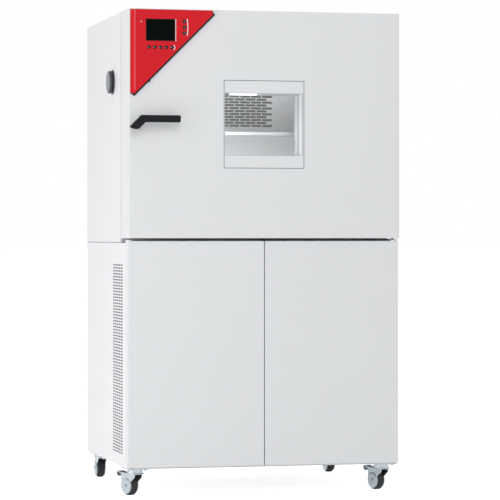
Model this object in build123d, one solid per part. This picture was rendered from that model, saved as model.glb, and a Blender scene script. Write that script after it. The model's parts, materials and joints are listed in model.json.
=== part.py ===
"""Environmental test chamber on castors, in millimetres.

+X is to the right seen from the front, +Y to the back and +Z up. The origin is on the floor,
under the middle of the whole object. Depths are counted from the upper door's front face.
"""
from build123d import *
import os
from math import cos, radians, sin, sqrt

# Overall size
WIDTH = 1120.0
DEPTH = 975.0
HEIGHT = 1945.0

# Running gaps, seats and sheet metal
RUN_GAP = 0.3
PIN_GAP = 0.05
SHEET = 1.5
SEAM = 3.0

# Levels of the housing
CASTER_HEIGHT = 112.0
SKIRT_Z = 118.0
LOWER_TOP = 1014.0
LOWER_DOOR_TOP = 1022.0
DOOR_BOTTOM = 1033.0

# Lower housing
LOWER_FRONT = 40.0
FRAME_RAIL_HEIGHT = 60.0
FRAME_TUBE = 40.0
FRAME_WALL = 3.0
FRAME_CORNER = 140.0
DECK_DEPTH = 20.0
CROSS_MEMBERS = 2

# Vent in the left side of the lower housing
VENT_FIELD = 756.0
VENT_COLUMNS = 5
VENT_ROW_PITCH = 12.0
VENT_COLUMN_PITCH = 44.6
VENT_SLOT_LENGTH = 30.0
VENT_SLOT_HEIGHT = 6.0
VENT_BOTTOM = 168.0
VENT_FRONT = 144.0

# Grilles in the rear panels
GRILLE_SLOT_LENGTH = 150.0
GRILLE_SLOT_HEIGHT = 8.0
GRILLE_PITCH = 22.0
LOWER_GRILLE_ROWS = 12
LOWER_GRILLE_Z = 620.0
UPPER_GRILLE_ROWS = 6

# Upper housing and test space
UPPER_FRONT = 168.0
COLLAR = 10.0
SIDE_WALL = 160.0
ROOF_WALL = 163.0
FLOOR_WALL = 168.0
REAR_WALL = 205.0
REAR_INSULATION = 100.0

# Air baffle at the back of the test space
FAN_ROOM = 100.0
BAFFLE_AIR_GAP = 18.0
BAFFLE_RETURN = 30.0
BAFFLE_SLOT_LENGTH = 40.0
BAFFLE_SLOT_HEIGHT = 5.6
BAFFLE_SLOT_PITCH = 48.0
BAFFLE_ROW_PITCH = 12.5
BAFFLE_ROWS = 18
BAFFLE_COLUMNS = 8
BAFFLE_SLOT_DROP = 114.0

# Circulation fan, its motor, the heater and the evaporator
FAN_DROP = 154.0
FAN_RADIUS = 110.0
FAN_HUB_RADIUS = 24.0
FAN_WIDTH = 42.0
FAN_SETBACK = 80.0
FAN_BLADES = 8
FAN_BLADE = 2.0
FAN_SHAFT_RADIUS = 6.0
FAN_SHAFT_HOLE = 9.0
FAN_SHAFT_SEAT = 30.0
MOTOR_RADIUS = 68.0
MOTOR_LENGTH = 82.0
MOTOR_FLANGE = 180.0
MOTOR_FLANGE_PLATE = 6.0
HEATER_RADIUS = 134.0
HEATER_TUBE = 4.0
EVAPORATOR_WIDTH = 600.0
EVAPORATOR_DROP = 82.0
EVAPORATOR_THICK = 45.0
EVAPORATOR_FINS = 12

# Shelf and its runners
RUNNER_LEVELS = 4
RUNNER_LIFT = 46.0
RUNNER_REACH = 16.0
RUNNER_THICK = 2.0
RUNNER_SETBACK = 14.0
RUNNER_END_GAP = 28.0
SHELF_LEVEL = 2
SHELF_THICK = 3.0
SHELF_SHORT = 20.0
SHELF_SETBACK = 24.0
SHELF_TRAVEL = 20.0
SHELF_SLOT_LENGTH = 84.0
SHELF_SLOT_WIDTH = 14.0
SHELF_SLOT_COLUMNS = 6
SHELF_SLOT_ROWS = 5

# Access port in the left side
PORT_DEPTH = 350.0
PORT_DROP = 273.0
PORT_BORE_RADIUS = 40.0
PORT_WALL = 1.5
PORT_SEAT_RADIUS = 41.0
PORT_SEAT_LENGTH = 60.0
PORT_FLANGE_RADIUS = 50.0
PORT_FLANGE = 3.0
PLUG_CAP_RADIUS = 46.0
PLUG_CAP = 10.0
PLUG_NECK = 7.0
PLUG_NECK_RADIUS = 37.0

# Upper door
DOOR_THICK = 158.0
DOOR_EDGE_RADIUS = 6.0
GASKET_INSET = 50.0
GASKET_WIDTH = 22.0
HINGE_INSET = 15.0
HINGE_DEPTH = 50.0
HINGE_PIN_RADIUS = 7.0
HINGE_PIN_LENGTH = 30.0
HINGE_ARM = 6.0
HINGE_ARM_HALF = 15.0
HINGE_PLATE = 60.0
HINGE_POCKET_FRONT = 25.0
HINGE_FLANGE_HEIGHT = 44.0

# Window in the upper door
WINDOW_X = -6.0
WINDOW_DROP = 455.5
WINDOW_WIDTH = 330.0
WINDOW_HEIGHT = 351.0
GLASS_HEIGHT = 251.0
TUNNEL_WALL = 3.0
TUNNEL_DEPTH = 156.5
PANE = 5.0
PANE_COUNT = 3
PANE_FRONT = 4.0
LIGHT_LENGTH = 110.0
LIGHT_HEIGHT = 8.0
LIGHT_DEPTH = 22.0
LIGHT_OFFSET = 82.0

# Triangular control panel in the door's upper left corner
PANEL_LEG = 333.0
PANEL_SIDE_INSET = 7.0
PANEL_TOP_INSET = 3.5
PANEL_BLUNT = 17.0
PANEL_TIP_RADIUS = 4.0
PANEL_PROUD = 12.0
PANEL_BEVEL = 19.0
PANEL_WALL = 2.5
PANEL_SEAT = 3.0
PANEL_RIM = 8.0
CONTROL_BOX_DEPTH = 60.0
DISPLAY_WIDTH = 119.0
DISPLAY_HEIGHT = 88.0
DISPLAY_LEFT = 61.0
DISPLAY_DROP = 37.0
DISPLAY_FLANGE = 6.0
DISPLAY_RECESS = 0.8
KEY_RADIUS = 7.0
KEY_PITCH = 23.2
KEY_PROUD = 1.6
KEY_FLANGE = 1.5
KEY_TRAVEL = 1.0
ROW_KEYS = 5
ROW_KEY_LEFT = 74.0
ROW_KEY_DROP = 150.0
COLUMN_KEYS = 3
COLUMN_KEY_LEFT = 217.0
COLUMN_KEY_DROP = 46.0
LAMP_RADIUS = 2.5
LAMP_LEFT = 43.0
LAMP_DROP = 49.0

# Door handle
HANDLE_INSET = 26.0
HANDLE_DROP = 465.0
HANDLE_REACH = 52.0
HANDLE_THICK = 16.0
HANDLE_GRIP = 28.0
HANDLE_GRIP_RISE = 26.0
HANDLE_GRIP_LENGTH = 176.0
HANDLE_HUB_RADIUS = 12.0
HANDLE_CRANK_HALF = 16.0
SPINDLE_RADIUS = 8.0
CAM_LENGTH = 40.0
CAM_THICK = 5.5
CAM_HALF = 7.0
KEEPER_LENGTH = 34.0
KEEPER_THICK = 2.7

# Lower doors
LOWER_DOOR_FRONT = 15.0
LOWER_DOOR_THICK = 20.0
LOWER_DOOR_SPLIT = 3.0
LOWER_DOOR_EDGE = 3.0
PIVOT_INSET = 10.0
PIVOT_RADIUS = 4.0
PIVOT_PIN = 8.0
PIVOT_BOSS_RADIUS = 8.0
PIVOT_BOSS = 12.0
PIVOT_PLATE = 3.0
PIVOT_ARM_HALF = 9.0
PIVOT_ARM_SEAT = 30.0

# Refrigeration and electrics in the lower housing
COMPRESSOR_RADIUS = 95.0
COMPRESSOR_HEIGHT = 380.0
COMPRESSOR_X = 120.0
COMPRESSOR_SETBACK = 455.0
COMPRESSOR_PLATE = 260.0
COMPRESSOR_FOOT = 20.0
CONDENSER_LENGTH = 230.0
CONDENSER_HEIGHT = 740.0
CONDENSER_THICK = 60.0
CONDENSER_FINS = 14
CONDENSER_WALL_GAP = 12.0
CONDENSER_FAN_RADIUS = 95.0
CONDENSER_FAN_HUB = 28.0
CONDENSER_FAN_BLADES = 5
CONDENSER_FAN_PITCH = 24.0
CONDENSER_FAN_WIDTH = 30.0
CONDENSER_BLADE_CHORD = 64.0
CONDENSER_FAN_Z = 620.0
SHROUD_DEPTH = 40.0
SHROUD_WALL = 3.0
FAN_TIP_GAP = 4.0
CONDENSER_MOTOR_RADIUS = 34.0
CONDENSER_MOTOR_LENGTH = 50.0
CONDENSER_SHAFT_RADIUS = 5.0
ELECTRIC_WIDTH = 360.0
ELECTRIC_HEIGHT = 620.0
ELECTRIC_DEPTH = 160.0
ELECTRIC_INSET = 230.0

# Cable gland in the lower rear panel
GLAND_INSET = 180.0
GLAND_Z = 210.0
GLAND_RADIUS = 19.0
GLAND_BORE = 8.0
GLAND_REACH = 28.0

# Castors
WHEEL_RADIUS = 40.0
WHEEL_WIDTH = 30.0
WHEEL_HUB_RADIUS = 29.0
WHEEL_RECESS = 2.0
AXLE_RADIUS = 4.0
CASTER_TRAIL = 36.0
CASTER_INSET = 46.0
CASTER_FRONT = 105.0
CASTER_REAR_INSET = 90.0
CASTER_PLATE_LENGTH = 90.0
CASTER_PLATE_WIDTH = 105.0
CASTER_PLATE = 4.0
CASTER_RACE_RADIUS = 31.0
KINGPIN_RADIUS = 6.0
FORK_SHEET = 3.0
FORK_TOP = 91.0
FORK_SIDE_GAP = 1.5
FORK_HALF_WIDTH = 30.0
FORK_LEAD = 36.0
FORK_TAIL = 70.0
FORK_DISC = 34.0
PEDAL_PIVOT_OUT = 30.0
PEDAL_PIVOT_Z = 83.0
PEDAL_PIN_RADIUS = 2.5
PEDAL_BARREL_RADIUS = 5.0
PEDAL_LENGTH = 42.0
PEDAL_LIP = 22.0
PEDAL_THICK = 3.0
TRAIL_ANGLES = {"front_left": 114.0, "front_right": 109.0, "rear_left": 90.0, "rear_right": 95.0}

# Places worked out from the sizes above
FRONT_Y = HANDLE_REACH - (HANDLE_REACH + DEPTH + GLAND_REACH) / 2
SIDE = WIDTH / 2
INNER_SIDE = SIDE - SHEET
FRAME_TOP = CASTER_HEIGHT + FRAME_RAIL_HEIGHT
UPPER_BOTTOM = LOWER_TOP + SEAM
ROOF = HEIGHT - SHEET
REAR = DEPTH - SHEET
SPACE_WIDTH = WIDTH - 2 * SIDE_WALL
SPACE_BOTTOM = LOWER_TOP + FLOOR_WALL
SPACE_TOP = HEIGHT - ROOF_WALL
LINER_BACK = DEPTH - REAR_WALL
INSULATION_BACK = LINER_BACK + REAR_INSULATION
BAFFLE_DEPTH = LINER_BACK - FAN_ROOM
FAN_DEPTH = LINER_BACK - FAN_SETBACK
FAN_Z = SPACE_TOP - FAN_DROP
EVAPORATOR_HEIGHT = FAN_Z - HEATER_RADIUS - EVAPORATOR_DROP - SPACE_BOTTOM
RUNNER_FRONT = UPPER_FRONT + RUNNER_SETBACK
RUNNER_LENGTH = BAFFLE_DEPTH - RUNNER_END_GAP - RUNNER_FRONT
RUNNER_PITCH = (SPACE_TOP - SPACE_BOTTOM) / (RUNNER_LEVELS + 1)
SHELF_DEPTH = RUNNER_LENGTH - SHELF_SHORT
PORT_Z = HEIGHT - PORT_DROP
HINGE_X = SIDE - HINGE_INSET
WINDOW_Z = HEIGHT - WINDOW_DROP
HANDLE_X = -SIDE + HANDLE_INSET
HANDLE_Z = HEIGHT - HANDLE_DROP
GLAND_X = SIDE - GLAND_INSET
ELECTRIC_X = SIDE - ELECTRIC_INSET
COMPRESSOR_DEPTH = DEPTH - COMPRESSOR_SETBACK
VENT_ROWS = int(VENT_FIELD / VENT_ROW_PITCH) + 1
LINER_HALF = SPACE_WIDTH / 2 + SHEET
PANEL_X = -SIDE + PANEL_SIDE_INSET
PANEL_Z = HEIGHT - PANEL_TOP_INSET
HANDLE_BACK = UPPER_FRONT - RUN_GAP - KEEPER_THICK
LOWER_DOOR_BACK = LOWER_DOOR_FRONT + LOWER_DOOR_THICK
PIVOT_X = SIDE - PIVOT_INSET
PIVOT_DEPTH = LOWER_DOOR_FRONT + PIVOT_INSET
CONDENSER_LEFT = -INNER_SIDE + CONDENSER_WALL_GAP
CONDENSER_FRONT = VENT_FRONT - VENT_SLOT_LENGTH / 2


def block(x0, x1, d0, d1, z0, z1):
    """A box between two corners, its depths counted from the door's front."""
    middle = Pos((x0 + x1) / 2, FRONT_Y + (d0 + d1) / 2, (z0 + z1) / 2)
    return middle * Box(x1 - x0, d1 - d0, z1 - z0)


def rod_z(x, depth, z0, z1, radius):
    return Pos(x, FRONT_Y + depth, (z0 + z1) / 2) * Cylinder(radius, z1 - z0)


def rod_y(x, z, d0, d1, radius):
    return Pos(x, FRONT_Y + (d0 + d1) / 2, z) * Rot(90, 0, 0) * Cylinder(radius, d1 - d0)


def rod_x(x0, x1, depth, z, radius):
    return Pos((x0 + x1) / 2, FRONT_Y + depth, z) * Rot(0, 90, 0) * Cylinder(radius, x1 - x0)


def front_prism(face, d0, d1):
    """Extrudes a face drawn in X and Z from one depth to another."""
    plane = Plane(origin=(0, FRONT_Y + d1, 0), x_dir=(1, 0, 0), z_dir=(0, -1, 0))
    return extrude(plane * face, d1 - d0)


def polygon(points):
    return make_face(Polyline(*points, close=True))


def turned_x(profile, x, depth, z):
    """Revolves a profile of (along X, radius) points about the X direction."""
    solid = revolve(polygon(profile), Axis.X)
    return Pos(x, FRONT_Y + depth, z) * solid


def slotted_sheet(width, height, slot, centres):
    """A sheet in its own plane with rectangular slots, one sheet thick."""
    holes = [Pos(u, v) * Wire.make_rect(slot[0], slot[1]) for u, v in centres]
    return extrude(Face(Wire.make_rect(width, height), holes), SHEET, dir=(0, 0, 1))


def grid_centres(columns, rows, pitch_u, pitch_v, stagger=0.0):
    """Centres of a grid about the origin; odd rows lose one slot when staggered."""
    centres = []
    for row in range(rows):
        shifted = bool(stagger) and row % 2 == 1
        count = columns - 1 if shifted else columns
        for column in range(count):
            centres.append(((column - (count - 1) / 2) * pitch_u, (row - (rows - 1) / 2) * pitch_v))
    return centres


def channel(x0, x1, d0, d1):
    """What is open below a frame rail folded from thick sheet."""
    wall = FRAME_WALL
    return block(x0 + wall, x1 - wall, d0 + wall, d1 - wall, CASTER_HEIGHT - 1, FRAME_TOP - wall)


def corner_post(side, end):
    """Angle post in one corner of the lower housing, from the tray up to the deck."""
    top = LOWER_TOP - DECK_DEPTH
    x0, x1 = sorted((side * INNER_SIDE, side * (INNER_SIDE - FRAME_TUBE)))
    w0, w1 = sorted((side * INNER_SIDE, side * (INNER_SIDE - FRAME_WALL)))
    d0 = LOWER_FRONT if end < 0 else REAR - FRAME_TUBE
    face = LOWER_FRONT if end < 0 else REAR - FRAME_WALL
    post = block(w0, w1, d0, d0 + FRAME_TUBE, FRAME_TOP, top)
    return post + block(x0, x1, face, face + FRAME_WALL, FRAME_TOP, top)


def base_frame():
    """Welded tube frame with corner posts and the machine tray."""
    outer = block(-INNER_SIDE, INNER_SIDE, LOWER_FRONT, REAR, CASTER_HEIGHT, FRAME_TOP)
    inner = block(-INNER_SIDE + FRAME_TUBE, INNER_SIDE - FRAME_TUBE, LOWER_FRONT + FRAME_TUBE,
                  REAR - FRAME_TUBE, CASTER_HEIGHT, FRAME_TOP)
    frame = outer - inner
    bay = (REAR - LOWER_FRONT - FRAME_TUBE) / (CROSS_MEMBERS + 1)
    for number in range(1, CROSS_MEMBERS + 1):
        front = LOWER_FRONT + bay * number
        frame += block(-INNER_SIDE + FRAME_TUBE, INNER_SIDE - FRAME_TUBE, front,
                       front + FRAME_TUBE, CASTER_HEIGHT, FRAME_TOP)
        frame -= channel(-INNER_SIDE + FRAME_TUBE, INNER_SIDE - FRAME_TUBE, front, front + FRAME_TUBE)
    for side in (-1, 1):
        rail = sorted((side * INNER_SIDE, side * (INNER_SIDE - FRAME_TUBE)))
        frame -= channel(rail[0], rail[1], LOWER_FRONT + FRAME_CORNER, REAR - FRAME_CORNER)
    for front in (LOWER_FRONT, REAR - FRAME_TUBE):
        frame -= channel(-INNER_SIDE + FRAME_CORNER, INNER_SIDE - FRAME_CORNER, front, front + FRAME_TUBE)
    frame += block(-INNER_SIDE, INNER_SIDE, LOWER_FRONT, REAR, FRAME_TOP - SHEET, FRAME_TOP)
    for side in (-1, 1):
        for end in (-1, 1):
            frame += corner_post(side, end)
    return frame


def mid_deck():
    """Folded deck that closes the lower housing and carries the upper one."""
    deck = block(-INNER_SIDE, INNER_SIDE, LOWER_FRONT, REAR, LOWER_TOP - DECK_DEPTH, LOWER_TOP)
    deck -= block(-INNER_SIDE + SHEET, INNER_SIDE - SHEET, LOWER_FRONT + SHEET, REAR - SHEET,
                  LOWER_TOP - DECK_DEPTH, LOWER_TOP - SHEET)
    return deck


def lower_left_panel():
    """Left side sheet with the tall field of vent slots."""
    width = DEPTH - LOWER_FRONT
    height = LOWER_TOP - SKIRT_Z
    middle_u = VENT_FRONT + (VENT_COLUMNS - 1) * VENT_COLUMN_PITCH / 2 - (LOWER_FRONT + DEPTH) / 2
    middle_v = VENT_BOTTOM + (VENT_ROWS - 1) * VENT_ROW_PITCH / 2 - (SKIRT_Z + LOWER_TOP) / 2
    field = grid_centres(VENT_COLUMNS, VENT_ROWS, VENT_COLUMN_PITCH, VENT_ROW_PITCH)
    field = [(u + middle_u, v + middle_v) for u, v in field]
    sheet = slotted_sheet(width, height, (VENT_SLOT_LENGTH, VENT_SLOT_HEIGHT), field)
    plane = Plane(origin=(-SIDE, FRONT_Y + (LOWER_FRONT + DEPTH) / 2, (SKIRT_Z + LOWER_TOP) / 2),
                  x_dir=(0, 1, 0), z_dir=(1, 0, 0))
    return plane * sheet


def lower_right_panel():
    return block(INNER_SIDE, SIDE, LOWER_FRONT, DEPTH, SKIRT_Z, LOWER_TOP)


def rear_sheet(bottom, top, rows, grille_z):
    """A rear sheet between the side sheets, with two columns of long slots."""
    middle = (bottom + top) / 2
    field = grid_centres(2, rows, GRILLE_SLOT_LENGTH * 1.4, GRILLE_PITCH)
    field = [(u, v + grille_z - middle) for u, v in field]
    sheet = slotted_sheet(2 * INNER_SIDE, top - bottom, (GRILLE_SLOT_LENGTH, GRILLE_SLOT_HEIGHT), field)
    return Plane(origin=(0, FRONT_Y + DEPTH, middle), x_dir=(1, 0, 0), z_dir=(0, -1, 0)) * sheet


def lower_rear_panel():
    panel = rear_sheet(SKIRT_Z, LOWER_TOP, LOWER_GRILLE_ROWS, LOWER_GRILLE_Z)
    return panel - rod_y(GLAND_X, GLAND_Z, REAR - SHEET, DEPTH + SHEET, GLAND_RADIUS * 0.8)


def cable_gland():
    """Screwed gland with a hexagon and a domed nut, its bore empty."""
    hexagon = front_prism(Pos(GLAND_X, GLAND_Z) * RegularPolygon(GLAND_RADIUS, 6), DEPTH, DEPTH + 9)
    dome = rod_y(GLAND_X, GLAND_Z, DEPTH + 9, DEPTH + GLAND_REACH, GLAND_RADIUS * 0.82)
    dome = chamfer(dome.edges().filter_by(GeomType.CIRCLE).sort_by(Axis.Y)[-1], 3)
    tail = rod_y(GLAND_X, GLAND_Z, REAR - 12, DEPTH, GLAND_RADIUS * 0.8 - PIN_GAP)
    return hexagon + dome + tail - rod_y(GLAND_X, GLAND_Z, REAR - 13, DEPTH + GLAND_REACH + 1, GLAND_BORE)


def upper_left_panel():
    panel = block(-SIDE, -INNER_SIDE, UPPER_FRONT, DEPTH, UPPER_BOTTOM, ROOF)
    return panel - rod_x(-SIDE - 1, -INNER_SIDE + 1, PORT_DEPTH, PORT_Z, PORT_SEAT_RADIUS + PORT_WALL)


def upper_right_panel():
    return block(INNER_SIDE, SIDE, UPPER_FRONT, DEPTH, UPPER_BOTTOM, ROOF)


def top_panel():
    panel = block(-SIDE, SIDE, UPPER_FRONT, DEPTH, ROOF, HEIGHT)
    return chamfer(panel.edges().filter_by(Axis.Y).group_by(Axis.Z)[-1], SHEET * 0.4)


def upper_rear_panel():
    return rear_sheet(UPPER_BOTTOM, ROOF, UPPER_GRILLE_ROWS, FAN_Z)


def front_collar():
    """Face frame of four strips round the mouth of the test space, which the gasket closes on."""
    front, back = UPPER_FRONT, UPPER_FRONT + COLLAR
    low, high = SPACE_BOTTOM - SHEET, SPACE_TOP + SHEET
    return Compound(children=[block(-INNER_SIDE, INNER_SIDE, front, back, UPPER_BOTTOM, low),
                              block(-INNER_SIDE, INNER_SIDE, front, back, high, ROOF),
                              block(-INNER_SIDE, -LINER_HALF, front, back, low, high),
                              block(LINER_HALF, INNER_SIDE, front, back, low, high)])


def chamber_liner():
    """Stainless tank of the test space, open at the front."""
    tank = block(-LINER_HALF, LINER_HALF, UPPER_FRONT, LINER_BACK + SHEET,
                 SPACE_BOTTOM - SHEET, SPACE_TOP + SHEET)
    tank -= block(-SPACE_WIDTH / 2, SPACE_WIDTH / 2, UPPER_FRONT, LINER_BACK, SPACE_BOTTOM, SPACE_TOP)
    tank -= rod_y(0, FAN_Z, LINER_BACK - 1, LINER_BACK + SHEET + 1, FAN_SHAFT_HOLE)
    return tank - rod_x(-LINER_HALF - 1, -SPACE_WIDTH / 2 + 1, PORT_DEPTH, PORT_Z,
                        PORT_BORE_RADIUS + PORT_WALL)


def chamber_insulation():
    """Insulation slabs round the tank; the left one is cut round the port in four pieces."""
    front, back = UPPER_FRONT + COLLAR, LINER_BACK + SHEET
    low, high = SPACE_BOTTOM - SHEET, SPACE_TOP + SHEET
    port = PORT_SEAT_RADIUS + PORT_WALL
    port_front, port_back = PORT_DEPTH - port, PORT_DEPTH + port
    slabs = [block(-INNER_SIDE, INNER_SIDE, front, back, LOWER_TOP, low),
             block(-INNER_SIDE, INNER_SIDE, front, back, high, ROOF),
             block(LINER_HALF, INNER_SIDE, front, back, low, high),
             block(-INNER_SIDE, -LINER_HALF, front, port_front, low, high),
             block(-INNER_SIDE, -LINER_HALF, port_back, back, low, high),
             block(-INNER_SIDE, -LINER_HALF, port_front, port_back, low, PORT_Z - port),
             block(-INNER_SIDE, -LINER_HALF, port_front, port_back, PORT_Z + port, high)]
    rear = block(-INNER_SIDE, INNER_SIDE, back, INSULATION_BACK, LOWER_TOP, ROOF)
    slabs.append(rear - rod_y(0, FAN_Z, back - 1, INSULATION_BACK + 1, FAN_SHAFT_HOLE))
    return Compound(children=slabs)


def port_tube():
    """Tube through the left wall: a wider seat for the plug, then the port's bore."""
    seat_end = PORT_SEAT_LENGTH
    outer_seat, outer_bore = PORT_SEAT_RADIUS + PORT_WALL, PORT_BORE_RADIUS + PORT_WALL
    length = SIDE - SPACE_WIDTH / 2
    profile = [(-PORT_FLANGE, PORT_SEAT_RADIUS), (-PORT_FLANGE, PORT_FLANGE_RADIUS),
               (0, PORT_FLANGE_RADIUS), (0, outer_seat), (seat_end, outer_seat),
               (seat_end, outer_bore), (length, outer_bore), (length, PORT_BORE_RADIUS),
               (seat_end, PORT_BORE_RADIUS), (seat_end, PORT_SEAT_RADIUS)]
    return turned_x(profile, -SIDE, PORT_DEPTH, PORT_Z)


def port_plug():
    """Soft stopper: outer disc, waisted neck and a stem that fills the tube's seat."""
    outer = -PORT_FLANGE - PLUG_NECK - PLUG_CAP
    shoulder = -PORT_FLANGE - RUN_GAP
    waist = (shoulder + outer + PLUG_CAP) / 2
    stem = PORT_SEAT_RADIUS - RUN_GAP
    end = PORT_SEAT_LENGTH - 2
    profile = [(outer, 0), (outer, PLUG_CAP_RADIUS - 3), (outer + 3, PLUG_CAP_RADIUS),
               (outer + PLUG_CAP, PLUG_CAP_RADIUS), (waist, PLUG_NECK_RADIUS),
               (shoulder, PLUG_CAP_RADIUS - 1), (shoulder, stem), (end, stem - 3), (end, 0)]
    return turned_x(profile, -SIDE, PORT_DEPTH, PORT_Z)


def air_baffle():
    """Slotted sheet in front of the fan, folded back along both sides."""
    half = SPACE_WIDTH / 2 - RUN_GAP
    low, high = SPACE_BOTTOM + BAFFLE_AIR_GAP, SPACE_TOP - BAFFLE_AIR_GAP
    middle = (low + high) / 2
    field = grid_centres(BAFFLE_COLUMNS, BAFFLE_ROWS, BAFFLE_SLOT_PITCH, BAFFLE_ROW_PITCH, 1.0)
    lift = FAN_Z - BAFFLE_SLOT_DROP + (BAFFLE_ROWS - 1) * BAFFLE_ROW_PITCH / 2 - middle
    field = [(u, v + lift) for u, v in field]
    sheet = slotted_sheet(2 * half, high - low, (BAFFLE_SLOT_LENGTH, BAFFLE_SLOT_HEIGHT), field)
    plane = Plane(origin=(0, FRONT_Y + BAFFLE_DEPTH + SHEET, middle), x_dir=(1, 0, 0), z_dir=(0, -1, 0))
    baffle = plane * sheet
    for side in (-1, 1):
        edge = sorted((side * half, side * (half - SHEET)))
        baffle += block(edge[0], edge[1], BAFFLE_DEPTH, BAFFLE_DEPTH + BAFFLE_RETURN, low, high)
    return baffle


def circulation_fan():
    """Backward curved radial impeller with its shaft."""
    back = FAN_DEPTH + FAN_WIDTH
    wheel = rod_y(0, FAN_Z, back - FAN_BLADE, back, FAN_RADIUS)
    wheel += rod_y(0, FAN_Z, FAN_DEPTH + FAN_WIDTH / 3, back, FAN_HUB_RADIUS)
    bend = FAN_RADIUS * 0.62
    for number in range(FAN_BLADES):
        arc = CenterArc((0, 0), bend, 20, 75)
        blade = make_face(Wire([arc, Line(arc @ 1, (bend + FAN_BLADE) * (arc @ 1).normalized()),
                                CenterArc((0, 0), bend + FAN_BLADE, 20, 75),
                                Line(bend * Vector(cos(radians(20)), sin(radians(20))),
                                     (bend + FAN_BLADE) * Vector(cos(radians(20)), sin(radians(20))))]))
        placed = Rot(0, 0, 360 / FAN_BLADES * number) * Pos(-bend * 0.55, -bend * 0.52) * blade
        wheel += front_prism(Pos(0, FAN_Z) * placed, FAN_DEPTH, back - FAN_BLADE)
    end = INSULATION_BACK + MOTOR_FLANGE_PLATE + FAN_SHAFT_SEAT
    return wheel + rod_y(0, FAN_Z, back - FAN_BLADE, end, FAN_SHAFT_RADIUS)


def fan_motor():
    """Motor of the circulation fan, flanged to the back of the insulation."""
    plate_back = INSULATION_BACK + MOTOR_FLANGE_PLATE
    half = MOTOR_FLANGE / 2
    flange = block(-half, half, INSULATION_BACK, plate_back, FAN_Z - half, FAN_Z + half)
    flange = fillet(flange.edges().filter_by(Axis.Y), 14)
    can = rod_y(0, FAN_Z, plate_back, plate_back + MOTOR_LENGTH, MOTOR_RADIUS)
    can = chamfer(can.edges().filter_by(GeomType.CIRCLE).sort_by(Axis.Y)[-1], 6)
    seat_end = plate_back + FAN_SHAFT_SEAT + 2
    return flange + can - rod_y(0, FAN_Z, INSULATION_BACK - 1, seat_end, FAN_SHAFT_RADIUS + PIN_GAP)


def heater_coil():
    """Flat-sided heater ring round the impeller, on two legs from the back of the tank."""
    depth = FAN_DEPTH + FAN_WIDTH / 2
    ring = rod_y(0, FAN_Z, depth - HEATER_TUBE, depth + HEATER_TUBE, HEATER_RADIUS + HEATER_TUBE)
    ring -= rod_y(0, FAN_Z, depth - HEATER_TUBE, depth + HEATER_TUBE, HEATER_RADIUS - HEATER_TUBE)
    for side in (-1, 1):
        ring += rod_y(side * HEATER_RADIUS, FAN_Z, depth, LINER_BACK, HEATER_TUBE * 0.8)
    return ring


def evaporator():
    """Finned block below the fan, its end plates on the back of the tank."""
    half = EVAPORATOR_WIDTH / 2
    top = SPACE_BOTTOM + EVAPORATOR_HEIGHT
    front, back = LINER_BACK - 15 - EVAPORATOR_THICK, LINER_BACK - 15
    coil = block(-half, half, front + 3, back - 3, SPACE_BOTTOM + 6, top - 6)
    pitch = EVAPORATOR_WIDTH / EVAPORATOR_FINS
    for number in range(1, EVAPORATOR_FINS):
        x = -half + pitch * number
        coil += block(x - 1.5, x + 1.5, front, back, SPACE_BOTTOM + 3, top - 3)
    for side in (-1, 1):
        plate = sorted((side * half, side * (half + 3)))
        coil += block(plate[0], plate[1], front, LINER_BACK, SPACE_BOTTOM, top)
    return coil


def runner_z(level):
    """Top of the runner on one level of the side walls."""
    return SPACE_BOTTOM + RUNNER_LIFT + RUNNER_PITCH * level


def shelf_runners():
    """Angle runners on both side walls, one pair for each level."""
    runners = []
    for side in (-1, 1):
        wall = side * SPACE_WIDTH / 2
        for level in range(RUNNER_LEVELS):
            top = runner_z(level)
            foot = sorted((wall, wall - side * RUNNER_REACH))
            web = sorted((wall, wall - side * RUNNER_THICK))
            back = RUNNER_FRONT + RUNNER_LENGTH
            angle = block(foot[0], foot[1], RUNNER_FRONT, back, top - RUNNER_THICK, top)
            angle += block(web[0], web[1], RUNNER_FRONT, back, top, top + RUNNER_REACH)
            runners.append(angle)
    return Compound(children=runners)


def shelf():
    """Perforated shelf that lies on one pair of runners."""
    half = SPACE_WIDTH / 2 - RUNNER_THICK - 2
    front = RUNNER_FRONT + SHELF_SETBACK
    low = runner_z(SHELF_LEVEL) + RUN_GAP
    holes = grid_centres(SHELF_SLOT_COLUMNS, SHELF_SLOT_ROWS, 2 * half / (SHELF_SLOT_COLUMNS + 0.4),
                         SHELF_DEPTH / (SHELF_SLOT_ROWS + 0.6))
    outline = Wire.make_rect(2 * half, SHELF_DEPTH)
    inner = [Pos(u, v) * Wire.make_rect(SHELF_SLOT_LENGTH, SHELF_SLOT_WIDTH) for u, v in holes]
    sheet = extrude(Face(outline, inner), SHELF_THICK, dir=(0, 0, 1))
    sheet = fillet(sheet.edges().filter_by(Axis.Z).sort_by(Axis.X)[:2], 8)
    sheet = fillet(sheet.edges().filter_by(Axis.Z).sort_by(Axis.X)[-2:], 8)
    return Pos(0, FRONT_Y + front + SHELF_DEPTH / 2, low) * sheet


def panel_outline(leg, grow=0.0):
    """Outline of the triangular panel in X and Z; grow moves the long side outwards."""
    corner, reach = PANEL_BLUNT, leg + grow * sqrt(2)
    points = [(0, 0), (leg, 0), (reach, -corner), (corner, -reach), (0, -leg)]
    face = polygon([(PANEL_X + x, PANEL_Z + z) for x, z in points])
    ends = face.vertices().sort_by(Axis.Y)[:2]
    return fillet(ends, PANEL_TIP_RADIUS)


def hinge_pocket():
    """Room for the top hinge arm in the door's upper right corner."""
    low = HEIGHT - HINGE_ARM - SHEET - 2 * RUN_GAP
    return block(HINGE_X - HINGE_ARM_HALF - 2 * RUN_GAP, SIDE + 1, HINGE_POCKET_FRONT, DOOR_THICK + 1,
                 low, HEIGHT + 1)


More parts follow.
